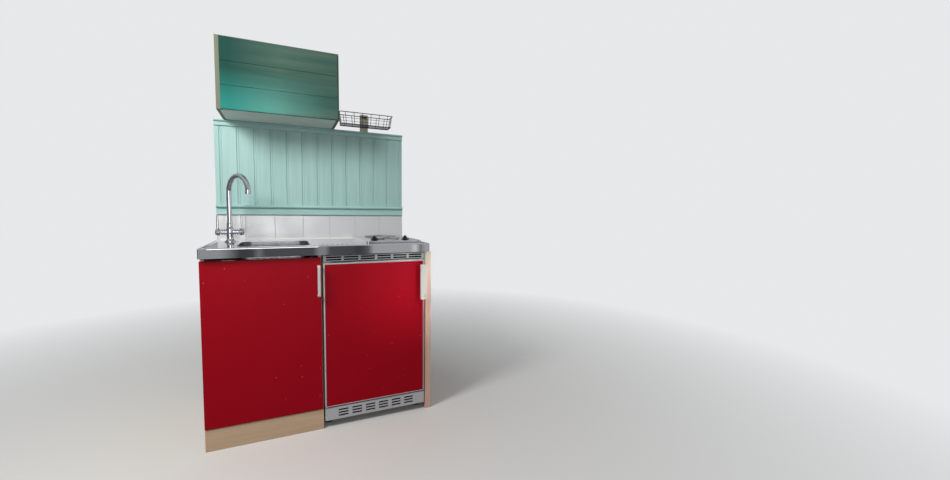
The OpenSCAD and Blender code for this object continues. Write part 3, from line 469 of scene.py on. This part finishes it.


# End panel.
# A board that carries the right end of the worktop, with a solid beech edge beside the fridge,
# pale cream towards its top as painted light.


def opened(mat):
    """What it takes to lay a second tone over a material: its tree, its colour so far, the
    socket that the colour goes into, and the place on the object along each axis."""
    tree = mat.node_tree
    colour = tree.nodes["Principled BSDF"].inputs["Base Color"]
    place = add(tree, "SeparateXYZ", add(tree, "TexCoord").outputs["Object"]).outputs
    return tree, colour.links[0].from_socket, colour, place


beech_post = timber("beech post", srgb(224, 186, 168), srgb(204, 166, 146), "z", 0.42, 0.2)
# Painted light: the beech edge turns pale cream towards its top.
painted_light_from, painted_light_to = 0.66, 0.82
tree, plain, colour, place = opened(beech_post)
painted_light_top = spread(tree, place["Z"], painted_light_from, painted_light_to, 0.0, 0.8)
mixed = add(tree, "MixRGB", painted_light_top, plain, srgb(212, 204, 190)).outputs[0]
tree.links.new(mixed, colour)
nodes["end_panel"].data.materials[0] = beech_post


# Worktop and sink.
# One sheet of stainless steel pressed over a board, with a rolled front edge and drainer ribs;
# the satin bowl is welded in from below and has a plastic waste and trap.

worktop_steel = brushed("worktop steel", srgb(206, 207, 210), 0.02, "x", 0.000008, 0.02)
bowl_steel = brushed("bowl steel", srgb(196, 197, 200), 0.26, "y")
nodes["worktop_sheet"].data.materials[0] = worktop_steel
nodes["sink_bowl"].data.materials[0] = bowl_steel
nodes["worktop_core"].data.materials[0] = white_board
nodes["sink_waste"].data.materials[0] = white_plastic


# Tap.
# Chrome plated brass: a pillar on a round foot, two arms that end in ribbed hubs with upright
# levers, and a swan neck that turns on the pillar.

chrome = brushed("chrome", srgb(200, 202, 205), 0.05, "z", 0.0, 0.04)
tap_x, tap_y, deck_z, arm_z, pillar_z = -0.4425, 0.150, 0.895, 0.947, 0.969
foot = [(0.0255, 0.0), (0.026, 0.0015), (0.0255, 0.004), (0.0235, 0.0055), (0.0225, 0.0065)]
foot += [(0.0205, 0.009), (0.0175, 0.013), (0.0165, 0.018)]
waist = [(0.0162, -0.016), (0.0172, -0.014), (0.0172, 0.013), (0.0162, 0.015)]
pillar = [(r, deck_z + z) for r, z in foot] + [(r, arm_z + z) for r, z in waist]
pillar += [(0.0162, pillar_z - 0.002), (0.0152, pillar_z)]
pillar += [(0.007, pillar_z), (0.007, pillar_z + 0.012)]
arm = [(0.0105, 0.0), (0.0105, 0.0205), (0.0128, 0.0212), (0.0152, 0.0226), (0.0152, 0.0262)]
arm += [(0.0128, 0.0276), (0.0108, 0.0282), (0.0108, 0.0312), (0.0128, 0.0318), (0.0152, 0.0332)]
arm += [(0.0152, 0.0368), (0.0128, 0.0382), (0.0108, 0.0388), (0.0108, 0.0405), (0.006, 0.041)]
arm += [(0.006, 0.052)]
arms = [turned([(r, side * d) for r, d in arm], (tap_x, tap_y, arm_z), "x", 32) for side in (-1, 1)]
shank = [(0.010, 0.846), (0.010, 0.862), (0.022, 0.8635)]
shank += [(0.022, 0.8755), (0.010, 0.876), (0.010, 0.894)]
shafts = [turned(pillar, (tap_x, tap_y, 0), "z", 48), turned(shank, (tap_x, tap_y, 0), "z", 24)]
skin("tap_pillar", shafts + arms, chrome, replaces=["tap_body"])

turn = math.radians(-54.0)
out = np.array((math.cos(turn), math.sin(turn), 0.0))
neck_r, tube_r, bend_z = 0.082, 0.0122, 1.156
angles = np.linspace(np.pi, 0, 40)
rise = [(0.0, z) for z in np.linspace(pillar_z + 0.02, bend_z, 6)[:-1]]
bend = list(zip(neck_r + neck_r * np.cos(angles), bend_z + neck_r * np.sin(angles)))
line = rise + bend + [(2 * neck_r, bend_z - 0.003)]
path = [np.array((tap_x, tap_y, z)) + out * r for r, z in line]
tube = sweep(path, (-out[1], out[0], 0.0), circle(tube_r, 24))
collar = [(0.0072, 0.012), (0.0072, 0.0006), (0.0143, 0.0006), (0.0148, 0.002), (0.0148, 0.018)]
collar += [(0.0142, 0.021), (0.0133, 0.026), (0.0126, 0.036), (tube_r, 0.04)]
collar = [(r, pillar_z + z) for r, z in collar]
mouth = np.array((tap_x, tap_y, 0)) + out * 2 * neck_r
nozzle = [(tube_r, 0.0), (0.0130, 0.0008), (0.0135, 0.002), (0.0135, 0.0105), (0.0130, 0.012)]
nozzle += [(0.0112, 0.012), (0.0106, 0.0115), (0.0106, 0.007), (0.0005, 0.0065)]
nozzle = [(r, bend_z - down) for r, down in nozzle]
parts = [tube, turned(collar, (tap_x, tap_y, 0), "z", 40), turned(nozzle, mouth, "z", 32)]
skin("tap_neck", parts, chrome, "spout", ["tap_spout"])

hub = [(0.0133, 0.0425), (0.0168, 0.0435)]
for x in (0.046, 0.0495, 0.053, 0.0565):
    hub += [(0.0186, x - 0.0011), (0.0188, x), (0.0186, x + 0.0011), (0.0168, x + 0.0016)]
hub += [(0.0165, 0.0605), (0.0155, 0.0632), (0.0128, 0.0655), (0.0105, 0.0658)]
hub += [(0.0098, 0.0652), (0.0005, 0.0650)]
rod = [(0.0056, 0.012), (0.0055, 0.03), (0.0052, 0.0835), (0.0049, 0.0855)]
rod += [(0.0041, 0.0868), (0.0004, 0.087)]
rod_out = 0.0552
for side, body, node in ((-1, "hot_lever", "tap_lever_hot"), (1, "cold_lever", "tap_lever_cold")):
    shell = turned([(r, side * d) for r, d in hub], (tap_x, tap_y, arm_z), "x", 40)
    lever = turned(rod, (tap_x + side * rod_out, tap_y, arm_z), "z", 20)
    skin("lever_" + body[:-6], [shell, lever], chrome, body, [node])


# Hob.
# A raised steel plate with two coated iron hot plates in steel rings, two black skirted knobs
# and a pair of pilot lamps between the knobs.

hob_steel = brushed("hob steel", srgb(206, 206, 208), 0.05, "x", 0.000008, 0.04)
hob_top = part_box("hob_knob_left")[0].z + 0.010
low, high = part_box("hob_plate")
top_plate = board((low.x, low.y, deck_z), (high.x, high.y, hob_top), 2, 0.0022, 0.010, 0.0004)
tray_low = (low.x + 0.020, low.y + 0.020, low.z)
tray = board(tray_low, (high.x - 0.020, high.y - 0.020, deck_z + 0.001), 2, 0.002, 0.012)
plate_low, plate_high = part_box("hot_plates")
mid_x, plates = (plate_low.x + plate_high.x) / 2, []
rear_r, front_r = 0.090, 0.072
discs = ((plate_high.y - rear_r, rear_r), (plate_low.y + front_r, front_r))
collar = [(0.0016, -0.0005), (0.0075, -0.0005), (0.0066, 0.0012), (0.0042, 0.0026)]
collar += [(0.0022, 0.003), (0.0016, 0.0024)]
collars = [
    turned([(r + out, hob_top + up) for out, up in collar], (mid_x, y, 0), "z", 96)
    for y, r in discs
]
skin(
    "hob_top", [top_plate, tray], hob_steel, replaces=["hob_plate"], rings=collars
)

iron = moulded("coated iron", srgb(52, 52, 55), 0.05, 0.03, Specular_IOR_Level=1.0)
tree, shader = iron.node_tree, iron.node_tree.nodes["Principled BSDF"]
coords = add(tree, "TexCoord").outputs["Object"]
cast = add(tree, "TexNoise", coords, Scale=420.0, Detail=3.0).outputs[0]
dent(tree, shader, cast, 0.000003, 0.2)
black_plastic = moulded("black plastic", srgb(24, 24, 26), 0.45, Specular_IOR_Level=0.3)
for y, r in discs:
    bottom, top = plate_low.z, plate_high.z
    rim = [(r - 0.001, bottom), (r, bottom + 0.001), (r, top - 0.0022)]
    rim += [(r - 0.0006, top - 0.0008), (r - 0.002, top)]
    for d in np.arange(r - 0.008, 0.028, -0.006):
        rim += [(d, top), (d - 0.0005, top - 0.0002), (d - 0.001, top - 0.0002), (d - 0.0015, top)]
    rim += [(0.0225, top), (0.0215, top - 0.0013), (0.0005, top - 0.0015)]
    plates.append(turned(rim, (mid_x, y, 0), "z", 96))
skin("cast_plates", plates, iron, replaces=["hot_plates"], crease=50.0)

white_mark = moulded("white mark", srgb(226, 226, 222), 0.45)
for side in ("left", "right"):
    low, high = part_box("hob_knob_" + side)
    x, y = (low.x + high.x) / 2, (low.y + high.y) / 2
    r = (high.x - low.x) / 2
    rim = [(0.004, 0.0025), (r - 0.001, 0.0012), (r, 0.0018), (r, 0.0032), (r - 0.0008, 0.0042)]
    rim += [(0.0126, 0.0048), (0.0114, 0.0058), (0.0108, 0.0126)]
    rim += [(0.0098, 0.0138), (0.0005, 0.0140)]
    rim = [(0.0039, low.z)] + [(radius, hob_top + up) for radius, up in rim]
    skirt = turned(rim, (x, y, 0), "z", 48)
    grip_half, grip_end = 0.0043, r - 0.0085
    grip_low = (x - grip_half, y - grip_end, hob_top + 0.005)
    grip = board(grip_low, (x + grip_half, y + grip_end, high.z), 2, 0.0016, 0.004)
    body, node = side + "_knob", "hob_knob_" + side
    skin("knob_" + side, [skirt, grip], black_plastic, body, [node])
    mark_low = (x - 0.0008, y + 0.004, high.z - 0.0006)
    mark = board(mark_low, (x + 0.0008, y + 0.0115, high.z), 2, 0.0002)
    skin("knob_mark_" + side, [mark], white_mark, body)
lamp_red = moulded("pilot lamp", srgb(70, 14, 12), 0.15)
dome = [(0.0052, -0.001), (0.0052, 0.0006), (0.0044, 0.001), (0.004, 0.0022)]
dome = [(r, hob_top + up) for r, up in dome + [(0.0028, 0.0031), (0.0004, 0.0035)]]
lamps = [turned(dome, (mid_x + off, y + 0.006, 0), "z", 20) for off in (-0.036, 0.040)]
skin("pilot_lamps", lamps, lamp_red)


# Splashback.
# Softwood battens, a row of white glazed tiles, a moulded dado rail, beaded boards painted pale
# teal, and a cap rail over them.

primed = timber("primed softwood", srgb(214, 208, 190), srgb(198, 188, 162), "z", 0.65)
glaze, tree, shader, coords = finish("white glaze", roughness=0.12)
shader.inputs["Base Color"].default_value = srgb(210, 211, 212)
waves = add(tree, "TexNoise", coords, Scale=14.0, Detail=2.0).outputs[0]
tree.links.new(spread(tree, waves, 0.3, 0.7, 0.08, 0.2), shader.inputs["Roughness"])
dent(tree, shader, waves, 0.0008, 0.3)
grout = moulded("grout", srgb(196, 194, 188), 0.8, 0.1)
sealant = moulded("white sealant", srgb(224, 223, 218), 0.35)
nodes["battens"].data.materials[0] = primed

low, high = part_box("tile_splashback")
tile_low, tile_high, tile_face = 0.880, high.z - 0.002, low.y
tile_wide, tile_thick, joint = 0.150, 0.0068, 0.0025
edges = [high.x - tile_wide * i for i in range(7)] + [low.x]
tiles, tile_back = [], tile_face + tile_thick
for right, left in zip(edges[:-1], edges[1:]):
    left = max(left + joint, low.x)
    tiles.append(board((left, tile_face, tile_low), (right, tile_back, tile_high), 1, 0.0014))
skin("wall_tiles", tiles, glaze, replaces=["tile_splashback"])
backing = board((low.x, tile_face + 0.0012, low.z), (high.x, high.y, high.z), 1, 0.0005)
skin("tile_grout", [backing], grout, replaces=["tile_splashback"])
angles, bead_r = np.linspace(0, np.pi / 2, 6), 0.004
fillet = np.r_[[(0.0, 0.0)], np.c_[-bead_r * np.cos(angles), bead_r * np.sin(angles)]]
fillet += (tile_face - 0.0001, deck_z)
bead = [np.c_[np.full(len(fillet), x), fillet] for x in (low.x + 0.012, high.x - 0.028)]
skin("sealant_bead", [np.array(bead)], sealant)

pale_teal = paint("pale teal paint", srgb(168, 202, 197), srgb(156, 191, 186), "z")
teal_rail = paint("teal rail paint", srgb(168, 204, 200), srgb(156, 194, 190), "x")


def moulding(name, outline, x_low, x_high, mat, replaced):
    """A flat outline of (y, z) points carried straight along the wall from end to end."""
    outline = np.array(outline, float)
    ends = [np.c_[np.full(len(outline), x), outline] for x in (x_low, x_high)]
    skin(name, [np.array(ends)], mat, replaces=[replaced], crease=28.0)


def arc(y, z, radius, start, stop, steps=8):
    """Points of a circle's arc in the (y, z) plane, from one angle to another in degrees."""
    angles = np.radians(np.linspace(start, stop, steps))
    return np.c_[y + radius * np.cos(angles), z + radius * np.sin(angles)].tolist()


low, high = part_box("matchboards")
face, back, pitch = low.y, high.y, 0.083
angles = np.radians(np.linspace(160, 20, 7))
groove = [(-0.0035, 0.0), (-0.0028, 0.0003), (-0.0003, 0.0034), (0.0003, 0.0034), (0.0026, 0.0007)]
groove += list(zip(0.0068 + 0.0036 * np.cos(angles), 0.0023 - 0.0023 * np.sin(angles)))
groove += [(0.0112, 0.0019), (0.0128, 0.0004), (0.0136, 0.0)]
front = [(low.x, face)]
for x in np.arange(low.x + 0.024, high.x - 0.012, pitch):
    front += [(x + off, face + deep) for off, deep in groove]
front += [(high.x, face), (high.x, back), (low.x, back)]
front = np.array(front)
panels = [np.c_[front, np.full(len(front), z)] for z in (low.z, high.z)]
skin(
    "beaded_boards", [np.array(panels)], pale_teal,
    replaces=["matchboards"], crease=28.0
)

low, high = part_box("dado_rail")
wall, nose, bottom, top = high.y, low.y, low.z, high.z
shape = [(0.0, 0.0), (0.0125, 0.0), (0.013, 0.0005), (0.013, 0.0055)]
shape = [(wall - out, bottom + up) for out, up in shape]
shape += arc(wall - 0.0115, bottom + 0.0075, 0.0015, 180, 90, 4)
hollow = [(0.0102, 0.0100), (0.0100, 0.0285), (0.0082, 0.0300), (0.0072, 0.0318)]
hollow += [(0.0072, 0.0352), (0.0085, 0.0368)]
shape += [(wall - out, bottom + up) for out, up in hollow]
shape += arc(nose + 0.009, top - 0.009, 0.009, 235, 90, 12) + [(wall - 0.006, top), (wall, top)]
moulding("dado_moulding", shape, low.x, high.x, teal_rail, "dado_rail")

low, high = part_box("cap_rail")
wall, nose, bottom, top = high.y, low.y, low.z, high.z
shape = [(wall, bottom), (wall - 0.0072, bottom), (wall - 0.008, bottom + 0.0008)]
shape += [(wall - 0.008, top - 0.0135)] + arc(wall - 0.0115, top - 0.0135, 0.0035, 0, 90, 6)
shape += arc(nose + 0.005, top - 0.005, 0.005, 270, 90, 10) + [(wall, top)]
moulding("cap_moulding", shape, low.x, high.x, teal_rail, "cap_rail")


# Wall cupboard.
# Cream painted board carcass, coloured in painted shade, its underside near white as painted
# light; a lift-up door of three wide boards painted dark teal, with painted shade at its left end
# and a painted reflection, a brighter teal, over its lower left.

# Painted shade: the carcass paint takes the dark greenish grey of cream board in shadow.
shaded_cream_board = paint(
    "cream board in painted shade", srgb(118, 121, 104), srgb(108, 111, 94), "z", 0.45, 0.0001
)
shaded_board_lit_below = paint(
    "cream board in painted shade, painted light below", srgb(118, 121, 104), srgb(108, 111, 94), "x", 0.4, 0.0001
)
# Painted light: the underside of the lowest deck turns near white.
tree, plain, colour, place = opened(shaded_board_lit_below)
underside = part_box("wall_cupboard_decks")[0].z + 0.0005
under = add(tree, "Math", place["Z"], underside, operation="LESS_THAN").outputs[0]
mixed = add(tree, "MixRGB", under, plain, srgb(234, 238, 232)).outputs[0]
tree.links.new(mixed, colour)
nodes["wall_cupboard_sides"].data.materials[0] = shaded_cream_board
nodes["wall_cupboard_decks"].data.materials[0] = shaded_board_lit_below
nodes["wall_cupboard_back"].data.materials[0] = shaded_cream_board

dark_teal = paint("dark teal paint", srgb(54, 88, 78), srgb(80, 102, 92), "x", 0.45, 0.00015, 0.12)
# Painted shade darkens the door's left end, and a painted reflection turns its lower left a
# brighter teal.
tree, plain, colour, place = opened(dark_teal)
low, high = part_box("wall_cupboard_door")
down = spread(tree, place["Z"], low.z + 0.20, low.z + 0.02)
leftwards = spread(tree, place["X"], high.x - 0.06, low.x + 0.20, 0.1, 1.0)
painted_shade_end = spread(tree, place["X"], low.x + 0.26, low.x + 0.04)
plain = add(tree, "MixRGB", painted_shade_end, plain, srgb(32, 68, 61)).outputs[0]
painted_reflection_mask = add(tree, "Math", down, leftwards, operation="MULTIPLY").outputs[0]
reflection_teal = add(tree, "MixRGB", painted_shade_end, srgb(88, 150, 139), srgb(42, 124, 115)).outputs[0]
mixed = add(tree, "MixRGB", painted_reflection_mask, plain, reflection_teal).outputs[0]
tree.links.new(mixed, colour)
step, half_joint, face_back = (high.z - low.z) / 3, 0.0004, high.y - 0.005
planks = []
for foot in (low.z, low.z + step, low.z + 2 * step):
    top = foot + step - half_joint
    planks.append(board((low.x, low.y, foot + half_joint), (high.x, face_back, top), 1, 0.0016))
backing_low = (low.x + 0.002, high.y - 0.0052, low.z + 0.002)
planks.append(board(backing_low, (high.x - 0.002, high.y, high.z - 0.002), 1, 0.0005))
skin("cupboard_planks", planks, dark_teal, replaces=["wall_cupboard_door"])


# Wire rack.
# Welded steel wire with a dark pewter coating: two stout frames, thin uprights and a dense mesh
# base, screwed to a batten by a lug.

pewter = moulded("pewter coating", srgb(78, 78, 82), 0.36, Metallic=0.75)
low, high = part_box("bottle_rack")
stout, thin, fine = 0.0024, 0.0016, 0.0012
x0, y0, z0 = low.x + stout, low.y + stout, low.z + stout
x1, y1, z1 = high.x - stout, high.y - stout, high.z - stout


def hoop(z, inset, radius):
    """A closed wire with round corners, lying flat at one height."""
    flat = round_loop(x1 - x0 - 2 * inset, y1 - y0 - inset, 0.009, 8)
    flat += ((x0 + x1) / 2, (y0 + y1 + inset) / 2)
    return sweep(np.c_[flat, np.full(len(flat), z)], (0, 0, 1), circle(radius, 10), True)


def rod_between(start, end, radius):
    """A straight wire: circles about its two ends, in planes across it."""
    start, end = np.array(start, float), np.array(end, float)
    along = (end - start) / np.linalg.norm(end - start)
    side = np.cross(along, (0.577, 0.577, 0.577))
    side /= np.linalg.norm(side)
    ring = circle(radius, 8)
    ring = ring[:, :1] * side + ring[:, 1:] * np.cross(along, side)
    return np.array([start + ring, end + ring])


inset, lug_half = 0.010, 0.014
hoops = [hoop(z1, 0.0, stout), hoop((z0 + z1) / 2, inset / 2, fine), hoop(z0, inset, stout)]
wires = []
for x in np.linspace(x0 + 0.03, x1 - 0.03, 6):
    low_x = x0 + inset + (x - x0) * (x1 - x0 - 2 * inset) / (x1 - x0)
    wires.append(rod_between((x, y0, z1), (low_x, y0 + inset, z0), thin))
    wires.append(rod_between((x, y1, z1), (low_x, y1, z0), thin))
for y in np.linspace(y0 + 0.022, y1 - 0.022, 3):
    wires.append(rod_between((x0, y, z1), (x0 + inset, y, z0), thin))
    wires.append(rod_between((x1, y, z1), (x1 - inset, y, z0), thin))
for x in np.linspace(x0 + inset + 0.008, x1 - inset - 0.008, 29):
    wires.append(rod_between((x, y0 + inset, z0 - fine), (x, y1, z0 - fine), fine))
for y in np.linspace(y0 + inset + 0.016, y1 - 0.014, 4):
    wires.append(rod_between((x0 + inset, y, z0 + fine / 2), (x1 - inset, y, z0 + fine / 2), fine))
mid_x = (x0 + x1) / 2
lug_low = (mid_x - lug_half, y1 - 0.001, z1 - 0.0105)
wires.append(board(lug_low, (mid_x + lug_half, high.y, z1 + 0.0015), 2, 0.0008))
skin("wire_basket", wires, pewter, replaces=["bottle_rack"], rings=hoops)


# Floor, light and camera.
# A pale floor, soft light from the upper left, and a camera 2 m in front of the doors, where the
# photograph was taken. Metal mirrors pale grey, and dim grey with bright bands behind the camera.

mesh = bpy.data.meshes.new("studio_floor")
reach = 30.0
corners = [(-reach, -reach, 0), (reach, -reach, 0), (reach, reach, 0), (-reach, reach, 0)]
mesh.from_pydata(corners, [], [(0, 1, 2, 3)])
studio_floor = bpy.data.objects.new("studio_floor", mesh)
bpy.context.collection.objects.link(studio_floor)
pale, tree, shader, coords = finish("pale floor", roughness=0.8)
camera_ray = add(tree, "LightPath").outputs["Is Camera Ray"]
shown_floor = add(tree, "MixRGB", camera_ray, srgb(150, 146, 140), srgb(226, 224, 220)).outputs[0]
tree.links.new(shown_floor, shader.inputs["Base Color"])
mesh.materials.append(pale)
far = spread(tree, add(tree, "SeparateXYZ", coords).outputs["Y"], -4.5, -6.0)
glossy_ray = add(tree, "LightPath").outputs["Is Glossy Ray"]
seen_in_metal = add(tree, "Math", glossy_ray, far, operation="MULTIPLY").outputs[0]
clear = add(tree, "BsdfTransparent").outputs[0]
both = add(tree, "MixShader", seen_in_metal, shader.outputs[0], clear).outputs[0]
haze = spread(tree, add(tree, "VectorMath", coords, operation="LENGTH").outputs["Value"], 0.75, 3.5)
haze = add(tree, "Math", haze, camera_ray, operation="MULTIPLY").outputs[0]
pale_grey = (0.80, 0.81, 0.82, 1.0)
backdrop = add(tree, "Emission", pale_grey).outputs[0]
both = add(tree, "MixShader", haze, both, backdrop).outputs[0]
tree.links.new(both, tree.nodes["Material Output"].inputs["Surface"])

scene = bpy.context.scene
scene.view_settings.view_transform = "Standard"
world = bpy.data.worlds.new("studio")
scene.world = world
world.use_nodes = True
tree = world.node_tree
background = tree.nodes["Background"]
path = add(tree, "LightPath").outputs
toward = add(tree, "SeparateXYZ", add(tree, "TexCoord").outputs["Generated"]).outputs
behind = add(tree, "Math", toward["Y"], -1.0, operation="MULTIPLY").outputs[0]
angle = add(tree, "Math", toward["X"], behind, operation="ARCTAN2").outputs[0]
around = spread(tree, angle, math.radians(-90), math.radians(90))
surround = add(tree, "ValToRGB", around).outputs[0]
ramp = surround.node.color_ramp
ramp.interpolation = "LINEAR"
bands = [(-90, 0.1), (-45, 0.12), (-40, 0.5), (-7, 0.4), (-5.7, 0.22), (-5.4, 0.07)]
bands += [(-3.1, 0.07), (-2.8, 0.24), (-2.5, 0.1), (3.8, 0.1), (4.1, 0.3), (5.4, 0.32)]
bands += [(5.6, 0.1), (8.4, 0.09), (9.7, 0.04), (10.0, 0.13), (10.8, 0.15), (11.2, 0.49)]
bands += [(16.4, 0.49), (16.7, 0.9), (17.1, 0.7), (17.5, 0.15), (17.8, 0.5), (24, 0.55)]
bands += [(52, 0.3), (60, 0.9), (90, 1.2)]
while len(ramp.elements) < len(bands):
    ramp.elements.new(0.5)
for stop, (degrees, level) in zip(ramp.elements, bands):
    stop.position = (degrees + 90) / 180
    stop.color = (level, level, level * 1.03, 1.0)
ahead = spread(tree, toward["Y"], 0.05, -0.15)
steepness = add(tree, "Math", toward["Z"], operation="ABSOLUTE").outputs[0]
near_level = spread(tree, steepness, 0.45, 0.2)
mask = add(tree, "Math", ahead, near_level, operation="MULTIPLY").outputs[0]
mask = add(tree, "Math", mask, path["Is Glossy Ray"], operation="MULTIPLY").outputs[0]
shown = add(
    tree, "Math", path["Is Camera Ray"], path["Is Glossy Ray"], operation="MAXIMUM"
).outputs[0]
shown = add(tree, "Math", shown, path["Is Transmission Ray"], operation="MAXIMUM").outputs[0]
overhead = spread(tree, toward["Z"], 0.0, 0.8)
sky = add(tree, "MixRGB", overhead, (0.34, 0.35, 0.36, 1.0), (0.58, 0.59, 0.60, 1.0)).outputs[0]
sky = add(tree, "MixRGB", path["Is Camera Ray"], sky, pale_grey).outputs[0]
soft = add(tree, "MixRGB", overhead, (0.23, 0.24, 0.25, 1.0), (0.34, 0.35, 0.36, 1.0)).outputs[0]
sky = add(tree, "MixRGB", shown, soft, sky).outputs[0]
tree.links.new(add(tree, "MixRGB", mask, sky, surround).outputs[0], background.inputs["Color"])
background.inputs["Strength"].default_value = 1.0


def lamp(name, at, aim, size, power, colour=(1.0, 1.0, 1.0)):
    """A square soft light at a place, facing the point it aims at."""
    light = bpy.data.lights.new(name, "AREA")
    light.size, light.energy, light.color = size, power, colour
    lit = bpy.data.objects.new(name, light)
    bpy.context.collection.objects.link(lit)
    z = np.array(at, float) - np.array(aim, float)
    z /= np.linalg.norm(z)
    x = np.cross((0, 0, 1), z)
    x /= np.linalg.norm(x)
    place = np.identity(4)
    place[:3, 0], place[:3, 1], place[:3, 2], place[:3, 3] = x, np.cross(z, x), z, at
    lit.matrix_world = place.T.tolist()
    return lit


key = lamp("key_light", (-1.25, -1.0, 2.1), (0.1, 0.1, 1.05), 0.6, 36, (1.0, 0.99, 0.97))
key.visible_glossy = False
lamp("fill_light", (-0.4, -4.2, 1.32), (0, 0, 0.9), 1.3, 26, (0.98, 0.99, 1.0))
narrow = lamp("narrow_light", (1.5, -2.6, 1.45), (0.44, -0.30, 0.70), 0.12, 0.3, (1.0, 0.99, 0.96))
narrow.data.spread = math.radians(15)

yaw, pitch, roll = math.radians(25.23), math.radians(-3.95), math.radians(0.574)
level = math.cos(pitch)
forward = np.array((math.sin(yaw) * level, math.cos(yaw) * level, math.sin(pitch)))
right = np.array((math.cos(yaw), -math.sin(yaw), 0.0))
up = np.cross(right, forward)
turned_right = math.cos(roll) * right + math.sin(roll) * up
turned_up = -math.sin(roll) * right + math.cos(roll) * up
focal_pixels, photo_pixels, sensor = 407.5, 950, 36.0
lens = bpy.data.cameras.new("photo_camera")
lens.sensor_width, lens.lens = sensor, sensor * focal_pixels / photo_pixels
camera = bpy.data.objects.new("photo_camera", lens)
bpy.context.collection.objects.link(camera)
place = np.identity(4)
place[:3, 0], place[:3, 1], place[:3, 2] = turned_right, turned_up, -forward
place[:3, 3] = (-0.1889, -2.3364, 1.0651)
camera.matrix_world = place.T.tolist()
scene.camera = camera
